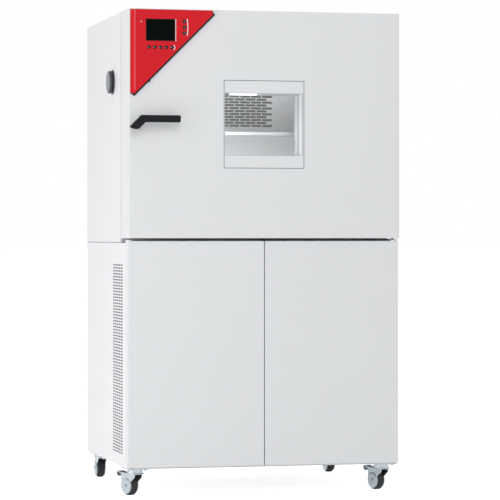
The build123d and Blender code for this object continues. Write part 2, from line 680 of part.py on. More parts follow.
def hinge_bores():
    """Bores for both hinge pins of the upper door."""
    pocket_floor = HEIGHT - HINGE_ARM - SHEET - 2 * RUN_GAP
    radius = HINGE_PIN_RADIUS + PIN_GAP
    bottom = rod_z(HINGE_X, HINGE_DEPTH, DOOR_BOTTOM - 1, DOOR_BOTTOM + HINGE_PIN_LENGTH + 2, radius)
    return bottom + rod_z(HINGE_X, HINGE_DEPTH, pocket_floor - HINGE_PIN_LENGTH - 2, pocket_floor + 1, radius)


def window_cut(grow, d0, d1):
    half_w, half_h = WINDOW_WIDTH / 2 + grow, WINDOW_HEIGHT / 2 + grow
    return block(WINDOW_X - half_w, WINDOW_X + half_w, d0, d1, WINDOW_Z - half_h, WINDOW_Z + half_h)


def door_skin():
    """Outer pan of the upper door with rounded edges, window, panel and spindle openings."""
    pan = block(-SIDE, SIDE, 0, DOOR_THICK - SHEET, DOOR_BOTTOM, HEIGHT)
    pan = fillet(pan.edges().filter_by(Axis.Z).sort_by(Axis.Y)[:2], DOOR_EDGE_RADIUS)
    pan -= block(-SIDE + SHEET, SIDE - SHEET, SHEET, DOOR_THICK, DOOR_BOTTOM + SHEET, HEIGHT - SHEET)
    pan -= window_cut(RUN_GAP, -1, DOOR_THICK)
    pan -= front_prism(panel_outline(PANEL_LEG, PANEL_RIM + RUN_GAP), -1, SHEET + 1)
    pan -= rod_y(HANDLE_X, HANDLE_Z, -1, SHEET + 1, HANDLE_HUB_RADIUS + RUN_GAP)
    return pan - hinge_pocket() - hinge_bores()


def door_core():
    """Insulation that fills the upper door round the window, control box and spindle."""
    core = block(-SIDE + SHEET, SIDE - SHEET, SHEET, DOOR_THICK - SHEET,
                 DOOR_BOTTOM + SHEET, HEIGHT - SHEET)
    core -= window_cut(RUN_GAP, 0, DOOR_THICK)
    core -= front_prism(panel_outline(PANEL_LEG, PANEL_RIM + RUN_GAP), 0, CONTROL_BOX_DEPTH + RUN_GAP)
    core -= rod_y(HANDLE_X, HANDLE_Z, 0, SHEET * 3, HANDLE_HUB_RADIUS + RUN_GAP)
    core -= rod_y(HANDLE_X, HANDLE_Z, 0, DOOR_THICK, SPINDLE_RADIUS + PIN_GAP)
    return core - hinge_pocket() - hinge_bores()


def door_inner_panel():
    """Stainless inner sheet of the upper door."""
    panel = block(-SIDE, SIDE, DOOR_THICK - SHEET, DOOR_THICK, DOOR_BOTTOM, HEIGHT)
    panel -= block(WINDOW_X - WINDOW_WIDTH / 2 + TUNNEL_WALL, WINDOW_X + WINDOW_WIDTH / 2 - TUNNEL_WALL,
                   DOOR_THICK - 2 * SHEET, DOOR_THICK + 1, WINDOW_Z - GLASS_HEIGHT / 2,
                   WINDOW_Z + GLASS_HEIGHT / 2)
    panel -= rod_y(HANDLE_X, HANDLE_Z, DOOR_THICK - 2 * SHEET, DOOR_THICK + 1, SPINDLE_RADIUS + PIN_GAP)
    return panel - hinge_pocket()


def door_gasket():
    """Seal round the mouth of the test space, on the door's inner sheet."""
    half = SPACE_WIDTH / 2 + GASKET_INSET
    low, high = SPACE_BOTTOM - GASKET_INSET, SPACE_TOP + GASKET_INSET
    back = UPPER_FRONT - RUN_GAP
    outer = block(-half, half, DOOR_THICK, back, low, high)
    outer = fillet(outer.edges().filter_by(Axis.Y), GASKET_WIDTH)
    inner = block(-half + GASKET_WIDTH, half - GASKET_WIDTH, DOOR_THICK, back,
                  low + GASKET_WIDTH, high - GASKET_WIDTH)
    ring = outer - inner
    return chamfer(ring.edges().group_by(Axis.Y)[-1], 3)


def window_frame():
    """Window surround: flush bands above and below, and the tunnel through the door."""
    frame = window_cut(0, 0, TUNNEL_DEPTH)
    half_w = WINDOW_WIDTH / 2 - TUNNEL_WALL
    tunnel = block(WINDOW_X - half_w, WINDOW_X + half_w, -1, TUNNEL_DEPTH + 1,
                   WINDOW_Z - GLASS_HEIGHT / 2, WINDOW_Z + GLASS_HEIGHT / 2)
    return frame - tunnel


def window_panes():
    """Three panes of the same size across the tunnel, evenly spaced."""
    half_w, half_h = WINDOW_WIDTH / 2 - TUNNEL_WALL, GLASS_HEIGHT / 2
    gap = (TUNNEL_DEPTH - PANE_FRONT - PANE) / (PANE_COUNT - 1)
    panes = []
    for number in range(PANE_COUNT):
        front = PANE_FRONT + gap * number
        panes.append(block(WINDOW_X - half_w, WINDOW_X + half_w, front, front + PANE,
                           WINDOW_Z - half_h, WINDOW_Z + half_h))
    return Compound(children=panes)


def light_bar():
    """Lamp on the tunnel's ceiling, between the outer panes."""
    top = WINDOW_Z + GLASS_HEIGHT / 2
    middle = WINDOW_X - LIGHT_OFFSET
    front = PANE_FRONT + PANE + 2
    bar = block(middle - LIGHT_LENGTH / 2, middle + LIGHT_LENGTH / 2, front, front + LIGHT_DEPTH,
                top - LIGHT_HEIGHT, top)
    return fillet(bar.edges().filter_by(Axis.X).group_by(Axis.Z)[0], 3)


def control_box():
    """Dark housing behind the panel cover, its rim showing along the long side."""
    box = front_prism(panel_outline(PANEL_LEG, PANEL_RIM), -PANEL_SEAT, CONTROL_BOX_DEPTH)
    lamp = rod_y(PANEL_X + LAMP_LEFT, PANEL_Z - LAMP_DROP, -PANEL_PROUD - RUN_GAP, -PANEL_SEAT, LAMP_RADIUS)
    return box + lamp


def key_places():
    """Centres of all the keys, the row first and then the column."""
    places = [(PANEL_X + ROW_KEY_LEFT + KEY_PITCH * number, PANEL_Z - ROW_KEY_DROP)
              for number in range(ROW_KEYS)]
    places += [(PANEL_X + COLUMN_KEY_LEFT, PANEL_Z - COLUMN_KEY_DROP - KEY_PITCH * number)
               for number in range(COLUMN_KEYS)]
    return places


def display_place():
    """Left, right, bottom and top of the display's opening."""
    left = PANEL_X + DISPLAY_LEFT
    top = PANEL_Z - DISPLAY_DROP
    return left, left + DISPLAY_WIDTH, top - DISPLAY_HEIGHT, top


def panel_cover():
    """Coloured triangular cover: bevelled along its left side and hollow behind."""
    solid = front_prism(panel_outline(PANEL_LEG), -PANEL_PROUD, -PANEL_SEAT)
    front, back = FRONT_Y - PANEL_PROUD, FRONT_Y - PANEL_SEAT
    bevel = polygon([(PANEL_X - 1, back - 1), (PANEL_X - 1, front - 1), (PANEL_X + PANEL_BEVEL, front - 1),
                     (PANEL_X + PANEL_BEVEL, front), (PANEL_X, back - 1)])
    solid -= extrude(Pos(0, 0, PANEL_Z - PANEL_LEG - 1) * bevel, PANEL_LEG + 2)
    near, top, far = PANEL_BEVEL + PANEL_WALL, PANEL_WALL, PANEL_LEG - PANEL_WALL
    slant = PANEL_LEG + PANEL_BLUNT - PANEL_WALL * sqrt(2)
    hollow = [(near, top), (far, top), (far, slant - far), (near, slant - near)]
    hollow = polygon([(PANEL_X + across, PANEL_Z - down) for across, down in hollow])
    solid -= front_prism(hollow, -PANEL_PROUD + PANEL_WALL, -PANEL_SEAT + 1)
    left, right, low, high = display_place()
    solid -= block(left, right, -PANEL_PROUD - 1, 0, low, high)
    for x, z in key_places():
        solid -= rod_y(x, z, -PANEL_PROUD - 1, 0, KEY_RADIUS + RUN_GAP)
    lamp_x, lamp_z = PANEL_X + LAMP_LEFT, PANEL_Z - LAMP_DROP
    return solid - rod_y(lamp_x, lamp_z, -PANEL_PROUD - 1, 0, LAMP_RADIUS + RUN_GAP)


def display():
    """Display module: its glass in the opening and its frame behind the cover."""
    left, right, low, high = display_place()
    seat = -PANEL_PROUD + PANEL_WALL
    glass = block(left + RUN_GAP, right - RUN_GAP, -PANEL_PROUD + DISPLAY_RECESS, seat,
                  low + RUN_GAP, high - RUN_GAP)
    return glass + block(left - DISPLAY_FLANGE, right + DISPLAY_FLANGE, seat, -PANEL_SEAT,
                         low - DISPLAY_FLANGE, high + DISPLAY_FLANGE)


def key(place):
    """Round key: a chamfered cap and the flange that holds it behind the cover."""
    x, z = place
    seat = -PANEL_PROUD + PANEL_WALL + RUN_GAP
    cap = rod_y(x, z, -PANEL_PROUD - KEY_PROUD, seat, KEY_RADIUS)
    cap = chamfer(cap.edges().filter_by(GeomType.CIRCLE).sort_by(Axis.Y)[0], 0.7)
    base = rod_y(x, z, seat, -PANEL_SEAT - KEY_TRAVEL - RUN_GAP, KEY_RADIUS + KEY_FLANGE)
    return cap + base


def handle_lever():
    """Cranked lever, hub and spindle, with the closing cam behind the door."""
    front, back = -HANDLE_REACH, -HANDLE_REACH + HANDLE_THICK
    half = HANDLE_CRANK_HALF * sqrt(2)
    top, low = HANDLE_GRIP_RISE + HANDLE_GRIP / 2, HANDLE_GRIP_RISE - HANDLE_GRIP / 2
    end = HANDLE_GRIP_LENGTH
    foot = HANDLE_CRANK_HALF
    points = [(top - half, top), (-half - foot / 2, -foot / 2), (-foot / 2, -foot), (half - foot, -foot),
              (low + half, low), (end, low), (end, top)]
    blade = fillet(polygon(points).vertices(), 4)
    lever = front_prism(Pos(HANDLE_X, HANDLE_Z) * blade, front, back)
    lever = chamfer(lever.edges().group_by(Axis.Y)[0], 2)
    lever += rod_y(HANDLE_X, HANDLE_Z, back, SHEET * 2, HANDLE_HUB_RADIUS)
    lever += rod_y(HANDLE_X, HANDLE_Z, 0, HANDLE_BACK, SPINDLE_RADIUS)
    cam_front = HANDLE_BACK - CAM_THICK
    lever += block(HANDLE_X - CAM_HALF, HANDLE_X + CAM_HALF, cam_front, HANDLE_BACK, HANDLE_Z,
                   HANDLE_Z + CAM_LENGTH)
    return lever


def latch_keeper():
    """Pad on the collar that the closing cam presses against."""
    pad = block(HANDLE_X - 2 * CAM_HALF, HANDLE_X + 2 * CAM_HALF, HANDLE_BACK + RUN_GAP, UPPER_FRONT,
                HANDLE_Z + CAM_LENGTH - KEEPER_LENGTH, HANDLE_Z + CAM_LENGTH + 8)
    return chamfer(pad.edges().filter_by(Axis.X).group_by(Axis.Y)[0], 1.2)


def hinge_arm(x0, x1, pivot, half, reach, z0, z1):
    """Flat hinge arm with a rounded end at its pivot."""
    arm = block(x0, x1, pivot[1], reach, z0, z1)
    return arm + rod_z(pivot[0], pivot[1], z0, z1, half)


def right_hinge():
    """Arm in the gap beside the doors: one pin up for the upper door, one down for the lower."""
    low = LOWER_DOOR_TOP + (DOOR_BOTTOM - LOWER_DOOR_TOP - HINGE_ARM) / 2
    high = low + HINGE_ARM
    arm = hinge_arm(HINGE_X - HINGE_ARM_HALF, HINGE_X + HINGE_ARM_HALF, (HINGE_X, HINGE_DEPTH),
                    HINGE_ARM_HALF, UPPER_FRONT, low, high)
    arm += hinge_arm(PIVOT_X - PIVOT_ARM_HALF, PIVOT_X + PIVOT_ARM_HALF, (PIVOT_X, PIVOT_DEPTH),
                     PIVOT_ARM_HALF, HINGE_DEPTH, low, high)
    arm += block(SIDE - HINGE_PLATE, SIDE, UPPER_FRONT - HINGE_DEPTH, UPPER_FRONT, low, high)
    arm += block(SIDE - HINGE_PLATE, SIDE, UPPER_FRONT - HINGE_DEPTH, UPPER_FRONT, LOWER_TOP, low)
    arm += rod_z(HINGE_X, HINGE_DEPTH, high, DOOR_BOTTOM + HINGE_PIN_LENGTH, HINGE_PIN_RADIUS)
    return arm + rod_z(PIVOT_X, PIVOT_DEPTH, LOWER_DOOR_TOP - PIVOT_PIN, low, PIVOT_RADIUS)


def top_hinge():
    """Arm sunk in the upper door's top, with a flange on the collar."""
    high = HEIGHT - SHEET - RUN_GAP
    low = high - HINGE_ARM
    arm = hinge_arm(HINGE_X - HINGE_ARM_HALF, SIDE, (HINGE_X, HINGE_DEPTH), HINGE_ARM_HALF,
                    UPPER_FRONT, low, high)
    arm += block(SIDE - HINGE_PLATE, INNER_SIDE, UPPER_FRONT - HINGE_ARM, UPPER_FRONT,
                 high - HINGE_FLANGE_HEIGHT, high)
    floor = HEIGHT - HINGE_ARM - SHEET - 2 * RUN_GAP
    return arm + rod_z(HINGE_X, HINGE_DEPTH, floor - HINGE_PIN_LENGTH, low, HINGE_PIN_RADIUS)


def lower_pivot(side, top):
    """Small pivot arm of a lower door, above it on the deck or below it on the frame."""
    x = side * PIVOT_X
    edges = (x - PIVOT_ARM_HALF, x + PIVOT_ARM_HALF)
    if top:
        low = LOWER_DOOR_TOP + 2 * RUN_GAP
        arm = hinge_arm(edges[0], edges[1], (x, PIVOT_DEPTH), PIVOT_ARM_HALF, LOWER_FRONT + PIVOT_ARM_SEAT,
                        low, low + PIVOT_PLATE)
        arm += block(edges[0], edges[1], LOWER_FRONT, LOWER_FRONT + PIVOT_ARM_SEAT, LOWER_TOP, low)
        return arm + rod_z(x, PIVOT_DEPTH, LOWER_DOOR_TOP - PIVOT_PIN, low, PIVOT_RADIUS)
    arm = hinge_arm(edges[0], edges[1], (x, PIVOT_DEPTH), PIVOT_ARM_HALF, LOWER_FRONT,
                    CASTER_HEIGHT, CASTER_HEIGHT + PIVOT_PLATE)
    return arm + rod_z(x, PIVOT_DEPTH, CASTER_HEIGHT + PIVOT_PLATE, SKIRT_Z + PIVOT_PIN, PIVOT_RADIUS)


def hinge_brackets():
    """All fixed hinge arms of the three doors, as separate pieces."""
    return Compound(children=[right_hinge(), top_hinge(), lower_pivot(-1, True),
                              lower_pivot(-1, False), lower_pivot(1, False)])


def lower_door(side):
    """Folded lower door, hinged at its outer side."""
    inner, outer = side * LOWER_DOOR_SPLIT / 2, side * SIDE
    x0, x1 = sorted((inner, outer))
    pan = block(x0, x1, LOWER_DOOR_FRONT, LOWER_DOOR_BACK, SKIRT_Z, LOWER_DOOR_TOP)
    pan = fillet(pan.edges().group_by(Axis.Y)[0], LOWER_DOOR_EDGE)
    pan -= block(x0 + SHEET, x1 - SHEET, LOWER_DOOR_FRONT + SHEET, LOWER_DOOR_BACK + 1,
                 SKIRT_Z + SHEET, LOWER_DOOR_TOP - SHEET)
    x = side * PIVOT_X
    for low, high in ((SKIRT_Z, SKIRT_Z + PIVOT_BOSS), (LOWER_DOOR_TOP - PIVOT_BOSS, LOWER_DOOR_TOP)):
        pan += rod_z(x, PIVOT_DEPTH, low, high, PIVOT_BOSS_RADIUS)
        pan -= rod_z(x, PIVOT_DEPTH, low - 1, high + 1, PIVOT_RADIUS + PIN_GAP)
    return pan


def compressor():
    """Hermetic compressor on its foot plate, with suction and discharge stubs."""
    half = COMPRESSOR_PLATE / 2
    x, depth = COMPRESSOR_X, COMPRESSOR_DEPTH
    plate = block(x - half, x + half, depth - half, depth + half, FRAME_TOP, FRAME_TOP + 8)
    plate = fillet(plate.edges().filter_by(Axis.Z), 20)
    foot = FRAME_TOP + 8
    top = foot + COMPRESSOR_FOOT + COMPRESSOR_HEIGHT
    can = rod_z(x, depth, foot, top, COMPRESSOR_RADIUS)
    can = chamfer(can.edges().filter_by(GeomType.CIRCLE), COMPRESSOR_RADIUS * 0.22)
    can += rod_z(x, depth, foot, foot + COMPRESSOR_FOOT, COMPRESSOR_RADIUS * 0.8)
    for drop, radius in ((0.25, 11), (0.6, 8)):
        can += rod_x(x - COMPRESSOR_RADIUS - 30, x, depth, top - COMPRESSOR_HEIGHT * drop, radius)
    return plate + can


def condenser_motor_x():
    """Where the condenser fan's motor starts, to the right of the shroud."""
    return CONDENSER_LEFT + CONDENSER_THICK + SHROUD_DEPTH + 4


def condenser():
    """Tall finned block behind the vent, with a fan ring and the bracket of its motor."""
    x0, x1 = CONDENSER_LEFT, CONDENSER_LEFT + CONDENSER_THICK
    d0, d1 = CONDENSER_FRONT, CONDENSER_FRONT + CONDENSER_LENGTH
    top = FRAME_TOP + CONDENSER_HEIGHT
    core = block(x0 + 3, x1 - 3, d0, d1, FRAME_TOP, top)
    pitch = CONDENSER_HEIGHT / CONDENSER_FINS
    for number in range(CONDENSER_FINS):
        z = FRAME_TOP + pitch * (number + 0.5)
        core += block(x0, x1, d0 + 3, d1 - 3, z - 2, z + 2)
    middle = (d0 + d1) / 2
    ring = CONDENSER_FAN_RADIUS + FAN_TIP_GAP
    end = x1 + SHROUD_DEPTH
    core += rod_x(x1 - 3, end, middle, CONDENSER_FAN_Z, ring + SHROUD_WALL)
    core -= rod_x(x1 - 2, end + 1, middle, CONDENSER_FAN_Z, ring)
    motor = condenser_motor_x()
    reach = CONDENSER_MOTOR_LENGTH / 2
    core += rod_x(motor, motor + CONDENSER_MOTOR_LENGTH, middle, CONDENSER_FAN_Z, CONDENSER_MOTOR_RADIUS)
    bar = block(motor, motor + 5, d0, d1, CONDENSER_FAN_Z - 12, CONDENSER_FAN_Z + 12)
    core += bar
    for depth in (d0, d1 - 4):
        core += block(x1 - 3, motor + 5, depth, depth + 4, CONDENSER_FAN_Z - 12, CONDENSER_FAN_Z + 12)
    bore = CONDENSER_SHAFT_RADIUS + PIN_GAP
    return core - rod_x(motor - 1, motor + reach + 1, middle, CONDENSER_FAN_Z, bore)


def condenser_fan():
    """Axial fan of the condenser: hub, pitched blades and a short shaft in its motor."""
    middle = CONDENSER_FRONT + CONDENSER_LENGTH / 2
    start = CONDENSER_LEFT + CONDENSER_THICK + 4
    motor = condenser_motor_x()
    fan = rod_x(0, CONDENSER_FAN_WIDTH, -FRONT_Y, 0, CONDENSER_FAN_HUB)
    span = CONDENSER_FAN_RADIUS - CONDENSER_FAN_HUB + 6
    for number in range(CONDENSER_FAN_BLADES):
        blade = fillet(Box(2.5, CONDENSER_BLADE_CHORD, span).edges().filter_by(Axis.X).group_by(Axis.Z)[-1], 18)
        lifted = Pos(0, 0, CONDENSER_FAN_HUB - 6 + span / 2) * Rot(0, 0, CONDENSER_FAN_PITCH) * blade
        turned = Rot(360 / CONDENSER_FAN_BLADES * number, 0, 0) * Pos(CONDENSER_FAN_WIDTH / 2, 0, 0) * lifted
        fan += turned
    limit = Pos(CONDENSER_FAN_WIDTH / 2, 0, 0) * Rot(0, 90, 0) * Cylinder(CONDENSER_FAN_RADIUS, CONDENSER_BLADE_CHORD)
    fan = fan & limit
    fan = Pos(start, FRONT_Y + middle, CONDENSER_FAN_Z) * fan
    return fan + rod_x(start, motor + CONDENSER_MOTOR_LENGTH / 2, middle, CONDENSER_FAN_Z,
                       CONDENSER_SHAFT_RADIUS)


def electrical_box():
    """Cabinet of the electrics on the machine tray, its lid proud of the box."""
    half = ELECTRIC_WIDTH / 2
    back = REAR - FRAME_TUBE - 10
    box = block(ELECTRIC_X - half, ELECTRIC_X + half, back - ELECTRIC_DEPTH, back, FRAME_TOP,
                FRAME_TOP + ELECTRIC_HEIGHT)
    box -= block(ELECTRIC_X - half + SHEET, ELECTRIC_X + half - SHEET, back - ELECTRIC_DEPTH - 1,
                 back - SHEET, FRAME_TOP + SHEET, FRAME_TOP + ELECTRIC_HEIGHT - SHEET)
    lid = block(ELECTRIC_X - half - 4, ELECTRIC_X + half + 4, back - ELECTRIC_DEPTH - 12,
                back - ELECTRIC_DEPTH, FRAME_TOP + 10, FRAME_TOP + ELECTRIC_HEIGHT + 4)
    lid = fillet(lid.edges().group_by(Axis.Y)[0], 4)
    return box + lid - block(ELECTRIC_X - half, ELECTRIC_X + half, back - ELECTRIC_DEPTH - 12 + SHEET,
                             back - ELECTRIC_DEPTH + 1, FRAME_TOP + 14, FRAME_TOP + ELECTRIC_HEIGHT - SHEET)


def caster_place(name):
    """Swivel axis of one castor in X and depth."""
    side = -1 if name.endswith("left") else 1
    depth = CASTER_FRONT if name.startswith("front") else DEPTH - CASTER_REAR_INSET
    return side * (SIDE - CASTER_INSET), depth


def on_caster(name, shape):
    """Places a shape drawn about the swivel axis, trailing along +X, on one castor."""
    x, depth = caster_place(name)
    return Pos(x, FRONT_Y + depth, 0) * Rot(0, 0, TRAIL_ANGLES[name]) * shape


def caster_plates():
    """Fixed top plates with their bearing rings and kingpins."""
    low = CASTER_HEIGHT - CASTER_PLATE
    nut_top = FORK_TOP - FORK_SHEET - RUN_GAP
    plates = []
    for name in TRAIL_ANGLES:
        x, depth = caster_place(name)
        half_x, half_y = CASTER_PLATE_LENGTH / 2, CASTER_PLATE_WIDTH / 2
        plate = block(x - half_x, x + half_x, depth - half_y, depth + half_y, low, CASTER_HEIGHT)
        plate = fillet(plate.edges().filter_by(Axis.Z), 8)
        plate += rod_z(x, depth, FORK_TOP + RUN_GAP, low, CASTER_RACE_RADIUS)
        plate += rod_z(x, depth, nut_top - 3, FORK_TOP + RUN_GAP, KINGPIN_RADIUS)
        plates.append(plate + rod_z(x, depth, nut_top - 3, nut_top, KINGPIN_RADIUS + 3))
    return Compound(children=plates)


def fork_leg(has_pedal):
    """Side outline of a fork leg: wide at the crown, with a round cover over the wheel."""
    tail = FORK_TAIL if has_pedal else FORK_TAIL - 14
    lower = FORK_TOP - 15
    shoulder = WHEEL_RADIUS + FORK_DISC * 0.4
    face = polygon([(-FORK_LEAD + 12, FORK_TOP), (tail, FORK_TOP), (tail, lower),
                    (CASTER_TRAIL + FORK_DISC * 0.9, shoulder), (CASTER_TRAIL - FORK_DISC * 0.9, shoulder),
                    (-FORK_LEAD + 12, lower)])
    return face + Pos(CASTER_TRAIL, WHEEL_RADIUS) * Circle(FORK_DISC)


def caster_fork(name):
    """Swivelling sheet fork: crown, two legs, the axle and, at the front, the pedal's pin."""
    has_pedal = name.startswith("front")
    inner = WHEEL_WIDTH / 2 + FORK_SIDE_GAP
    crown = Pos(4, 0, FORK_TOP - FORK_SHEET / 2) * Box(2 * FORK_LEAD + 8, 2 * FORK_HALF_WIDTH, FORK_SHEET)
    crown = fillet(crown.edges().filter_by(Axis.Z), 18)
    crown -= Pos(0, 0, FORK_TOP - FORK_SHEET / 2) * Cylinder(KINGPIN_RADIUS + PIN_GAP, 2 * FORK_SHEET)
    fork = crown
    for side in (-1, 1):
        start = inner if side > 0 else -inner - FORK_SHEET
        plane = Plane(origin=(0, start + FORK_SHEET, 0), x_dir=(1, 0, 0), z_dir=(0, -1, 0))
        fork += extrude(plane * fork_leg(has_pedal), FORK_SHEET)
    axle_length = 2 * (inner + FORK_SHEET + 2)
    fork += Pos(CASTER_TRAIL, 0, WHEEL_RADIUS) * Rot(90, 0, 0) * Cylinder(AXLE_RADIUS, axle_length)
    if has_pedal:
        pin = Cylinder(PEDAL_PIN_RADIUS, 2 * inner + FORK_SHEET)
        fork += Pos(CASTER_TRAIL + PEDAL_PIVOT_OUT, 0, PEDAL_PIVOT_Z) * Rot(90, 0, 0) * pin
    return on_caster(name, fork)


def caster_wheel(name):
    """Wheel with a crowned tread, recessed sides and a through bore."""
    half = WHEEL_WIDTH / 2
    bore = AXLE_RADIUS + PIN_GAP
    hub = AXLE_RADIUS * 3
    points = [(-half - 0.6, bore), (-half - 0.6, hub), (-half + WHEEL_RECESS, hub + 2),
              (-half + WHEEL_RECESS, WHEEL_HUB_RADIUS - 2), (-half, WHEEL_HUB_RADIUS),
              (-half, WHEEL_RADIUS - 5), (-half + 5, WHEEL_RADIUS)]
    profile = points + [(-x, r) for x, r in reversed(points)]
    wheel = revolve(polygon(profile), Axis.X)
    return on_caster(name, Pos(CASTER_TRAIL, 0, WHEEL_RADIUS) * Rot(0, 0, 90) * wheel)


def brake_pedal(name):
    """Foot pedal of a front castor, on the fork's pin."""
    half = WHEEL_WIDTH / 2 + FORK_SIDE_GAP - RUN_GAP
    out, thick = PEDAL_LENGTH, PEDAL_THICK
    top = PEDAL_BARREL_RADIUS + out * 0.16
    outline = [(0, PEDAL_BARREL_RADIUS), (out - 6, top), (out, top - 5), (out - 2, top - PEDAL_LIP * 0.6),
               (out - 10, top - PEDAL_LIP), (out - 13, top - PEDAL_LIP + thick), (out - 2 - thick, top - 12),
               (out - thick, top - 6), (out - 8, top - thick), (0, PEDAL_BARREL_RADIUS - thick)]
    plane = Plane(origin=(0, half, 0), x_dir=(1, 0, 0), z_dir=(0, -1, 0))
    pedal = extrude(plane * polygon(outline), 2 * half)
    pedal += Rot(90, 0, 0) * Cylinder(PEDAL_BARREL_RADIUS, 2 * half)
    pedal -= Rot(90, 0, 0) * Cylinder(PEDAL_PIN_RADIUS + PIN_GAP, 2 * half + 2)
    return on_caster(name, Pos(CASTER_TRAIL + PEDAL_PIVOT_OUT, 0, PEDAL_PIVOT_Z) * pedal)


def all_nodes():
    """Every sub-part by its node's name."""
    nodes = {"base_frame": base_frame(), "mid_deck": mid_deck(),
             "lower_left_panel": lower_left_panel(), "lower_right_panel": lower_right_panel(),
             "lower_rear_panel": lower_rear_panel(), "cable_gland": cable_gland(),
             "upper_left_panel": upper_left_panel(), "upper_right_panel": upper_right_panel(),
             "top_panel": top_panel(), "upper_rear_panel": upper_rear_panel(),
             "front_collar": front_collar(), "chamber_liner": chamber_liner(),
             "chamber_insulation": chamber_insulation(), "port_tube": port_tube(),
             "port_plug": port_plug(), "air_baffle": air_baffle(),
             "circulation_fan": circulation_fan(), "fan_motor": fan_motor(),
             "heater_coil": heater_coil(), "evaporator": evaporator(),
             "shelf_runners": shelf_runners(), "shelf": shelf(),
             "door_skin": door_skin(), "door_core": door_core(),
             "door_inner_panel": door_inner_panel(), "door_gasket": door_gasket(),
             "window_frame": window_frame(), "window_panes": window_panes(),
             "light_bar": light_bar(), "control_box": control_box(),
             "panel_cover": panel_cover(), "display": display(),
             "handle_lever": handle_lever(), "latch_keeper": latch_keeper(),
             "hinge_brackets": hinge_brackets(), "lower_left_door": lower_door(-1),
             "lower_right_door": lower_door(1), "compressor": compressor(),
             "condenser": condenser(), "condenser_fan": condenser_fan(),
             "electrical_box": electrical_box(), "caster_plates": caster_plates()}
    for number, place in enumerate(key_places(), 1):
        kind = "row_key" if number <= ROW_KEYS else "column_key"
        nodes[f"{kind}_{number if number <= ROW_KEYS else number - ROW_KEYS}"] = key(place)
    for name in TRAIL_ANGLES:
        nodes[f"caster_fork_{name}"] = caster_fork(name)
        nodes[f"caster_wheel_{name}"] = caster_wheel(name)
        if name.startswith("front"):
            nodes[f"brake_pedal_{name}"] = brake_pedal(name)
    return nodes


def main():
    os.makedirs("parts", exist_ok=True)
    for name, shape in all_nodes().items():
        export_step(shape, f"parts/{name}.step")


if __name__ == "__main__":
    main()
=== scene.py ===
"""Dresses the environmental test chamber: its finishes, its small fittings and its studio."""

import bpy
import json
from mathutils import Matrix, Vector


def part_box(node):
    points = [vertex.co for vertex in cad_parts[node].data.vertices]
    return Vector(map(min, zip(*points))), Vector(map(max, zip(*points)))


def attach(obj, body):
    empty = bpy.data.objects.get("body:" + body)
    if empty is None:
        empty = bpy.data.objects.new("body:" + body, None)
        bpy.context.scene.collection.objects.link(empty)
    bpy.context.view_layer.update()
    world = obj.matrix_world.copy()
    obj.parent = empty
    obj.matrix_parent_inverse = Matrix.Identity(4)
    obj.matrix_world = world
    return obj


bl_info = {
    "name": "Environmental Test Chamber",
    "version": (1, 0, 0),
    "blender": (4, 5, 0),
    "location": "View3D > Sidebar > Chamber",
    "description": "Finishes, fittings and studio of a floor-standing environmental test chamber",
    "category": "Object",
}
import json
from math import cos, pi, radians

import bpy
from mathutils import Vector

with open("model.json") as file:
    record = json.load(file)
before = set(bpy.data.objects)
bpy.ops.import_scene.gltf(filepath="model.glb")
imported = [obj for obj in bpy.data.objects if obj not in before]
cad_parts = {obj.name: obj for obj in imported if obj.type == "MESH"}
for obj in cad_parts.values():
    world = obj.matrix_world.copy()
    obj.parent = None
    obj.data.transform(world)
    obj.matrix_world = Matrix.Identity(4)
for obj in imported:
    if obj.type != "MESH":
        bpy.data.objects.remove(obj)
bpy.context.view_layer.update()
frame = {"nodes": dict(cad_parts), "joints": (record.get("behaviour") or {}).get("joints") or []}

MM = 0.001
SHEET = 1.5 * MM
DOOR_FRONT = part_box("door_skin")[0].y
PANEL_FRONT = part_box("panel_cover")[0].y
PANEL_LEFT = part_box("panel_cover")[0].x
PANEL_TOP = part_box("panel_cover")[1].z
CASTERS = ("front_left", "front_right", "rear_left", "rear_right")
ROW_KEYS = 5
COLUMN_KEYS = 3
# How far a face's normal must go along a direction for the face to look that way
FACING = 0.9
FRONT = (0, -1, 0)
LEFT = (-1, 0, 0)

# Name, place and aim in metres, size in metres, power in watts
LAMPS = (
    ("key_light", (-6.0, -3.4, 3.4), (0, 0, 0.9), (3.5, 3.5), 70.0),
    ("low_light", (-3.6, -1.6, 0.5), (-0.6, 0, 0.6), (1.6, 1.6), 27.0),
    ("front_light", (-1.0, -7.0, 5.5), (0, 0, 1.1), (3.5, 3.5), 116.0),
    ("chamber_light", (0.0, -0.29, 1.72), (0.0, 0.2, 1.6), (0.74, 0.08), 0.58),
    ("shelf_light", (0.0, -0.29, 1.30), (0.0, 0.2, 1.33), (0.74, 0.1), 0.74),
    ("window_light", (-0.166, -0.40, 1.43), (0.16, -0.40, 1.40), (0.12, 0.1), 0.7),
)
# Place in metres, level direction, focal length in millimetres, shift as a share of the picture
CAMERA_PLACE = (-2.3715, -10.2056, 1.0397)
CAMERA_DIRECTION = (0.2307, 0.9730, 0.0)
CAMERA_LENS = 179.524
CAMERA_SHIFT = -0.027


def linear(code):
    """Linear colour of an sRGB hex code."""
    parts = [int(code[i:i + 2], 16) / 255 for i in (1, 3, 5)]
    return [p / 12.92 if p <= 0.04045 else ((p + 0.055) / 1.055) ** 2.4 for p in parts] + [1.0]


# Settings

def colour(name, code, text):
    return bpy.props.FloatVectorProperty(name=name, description=text, subtype="COLOR", size=4,
                                         min=0.0, max=1.0, default=linear(code))


def length(name, millimetres, text):
    return bpy.props.FloatProperty(name=name, description=text, unit="LENGTH", min=0.0,
                                   default=millimetres * MM, precision=5)


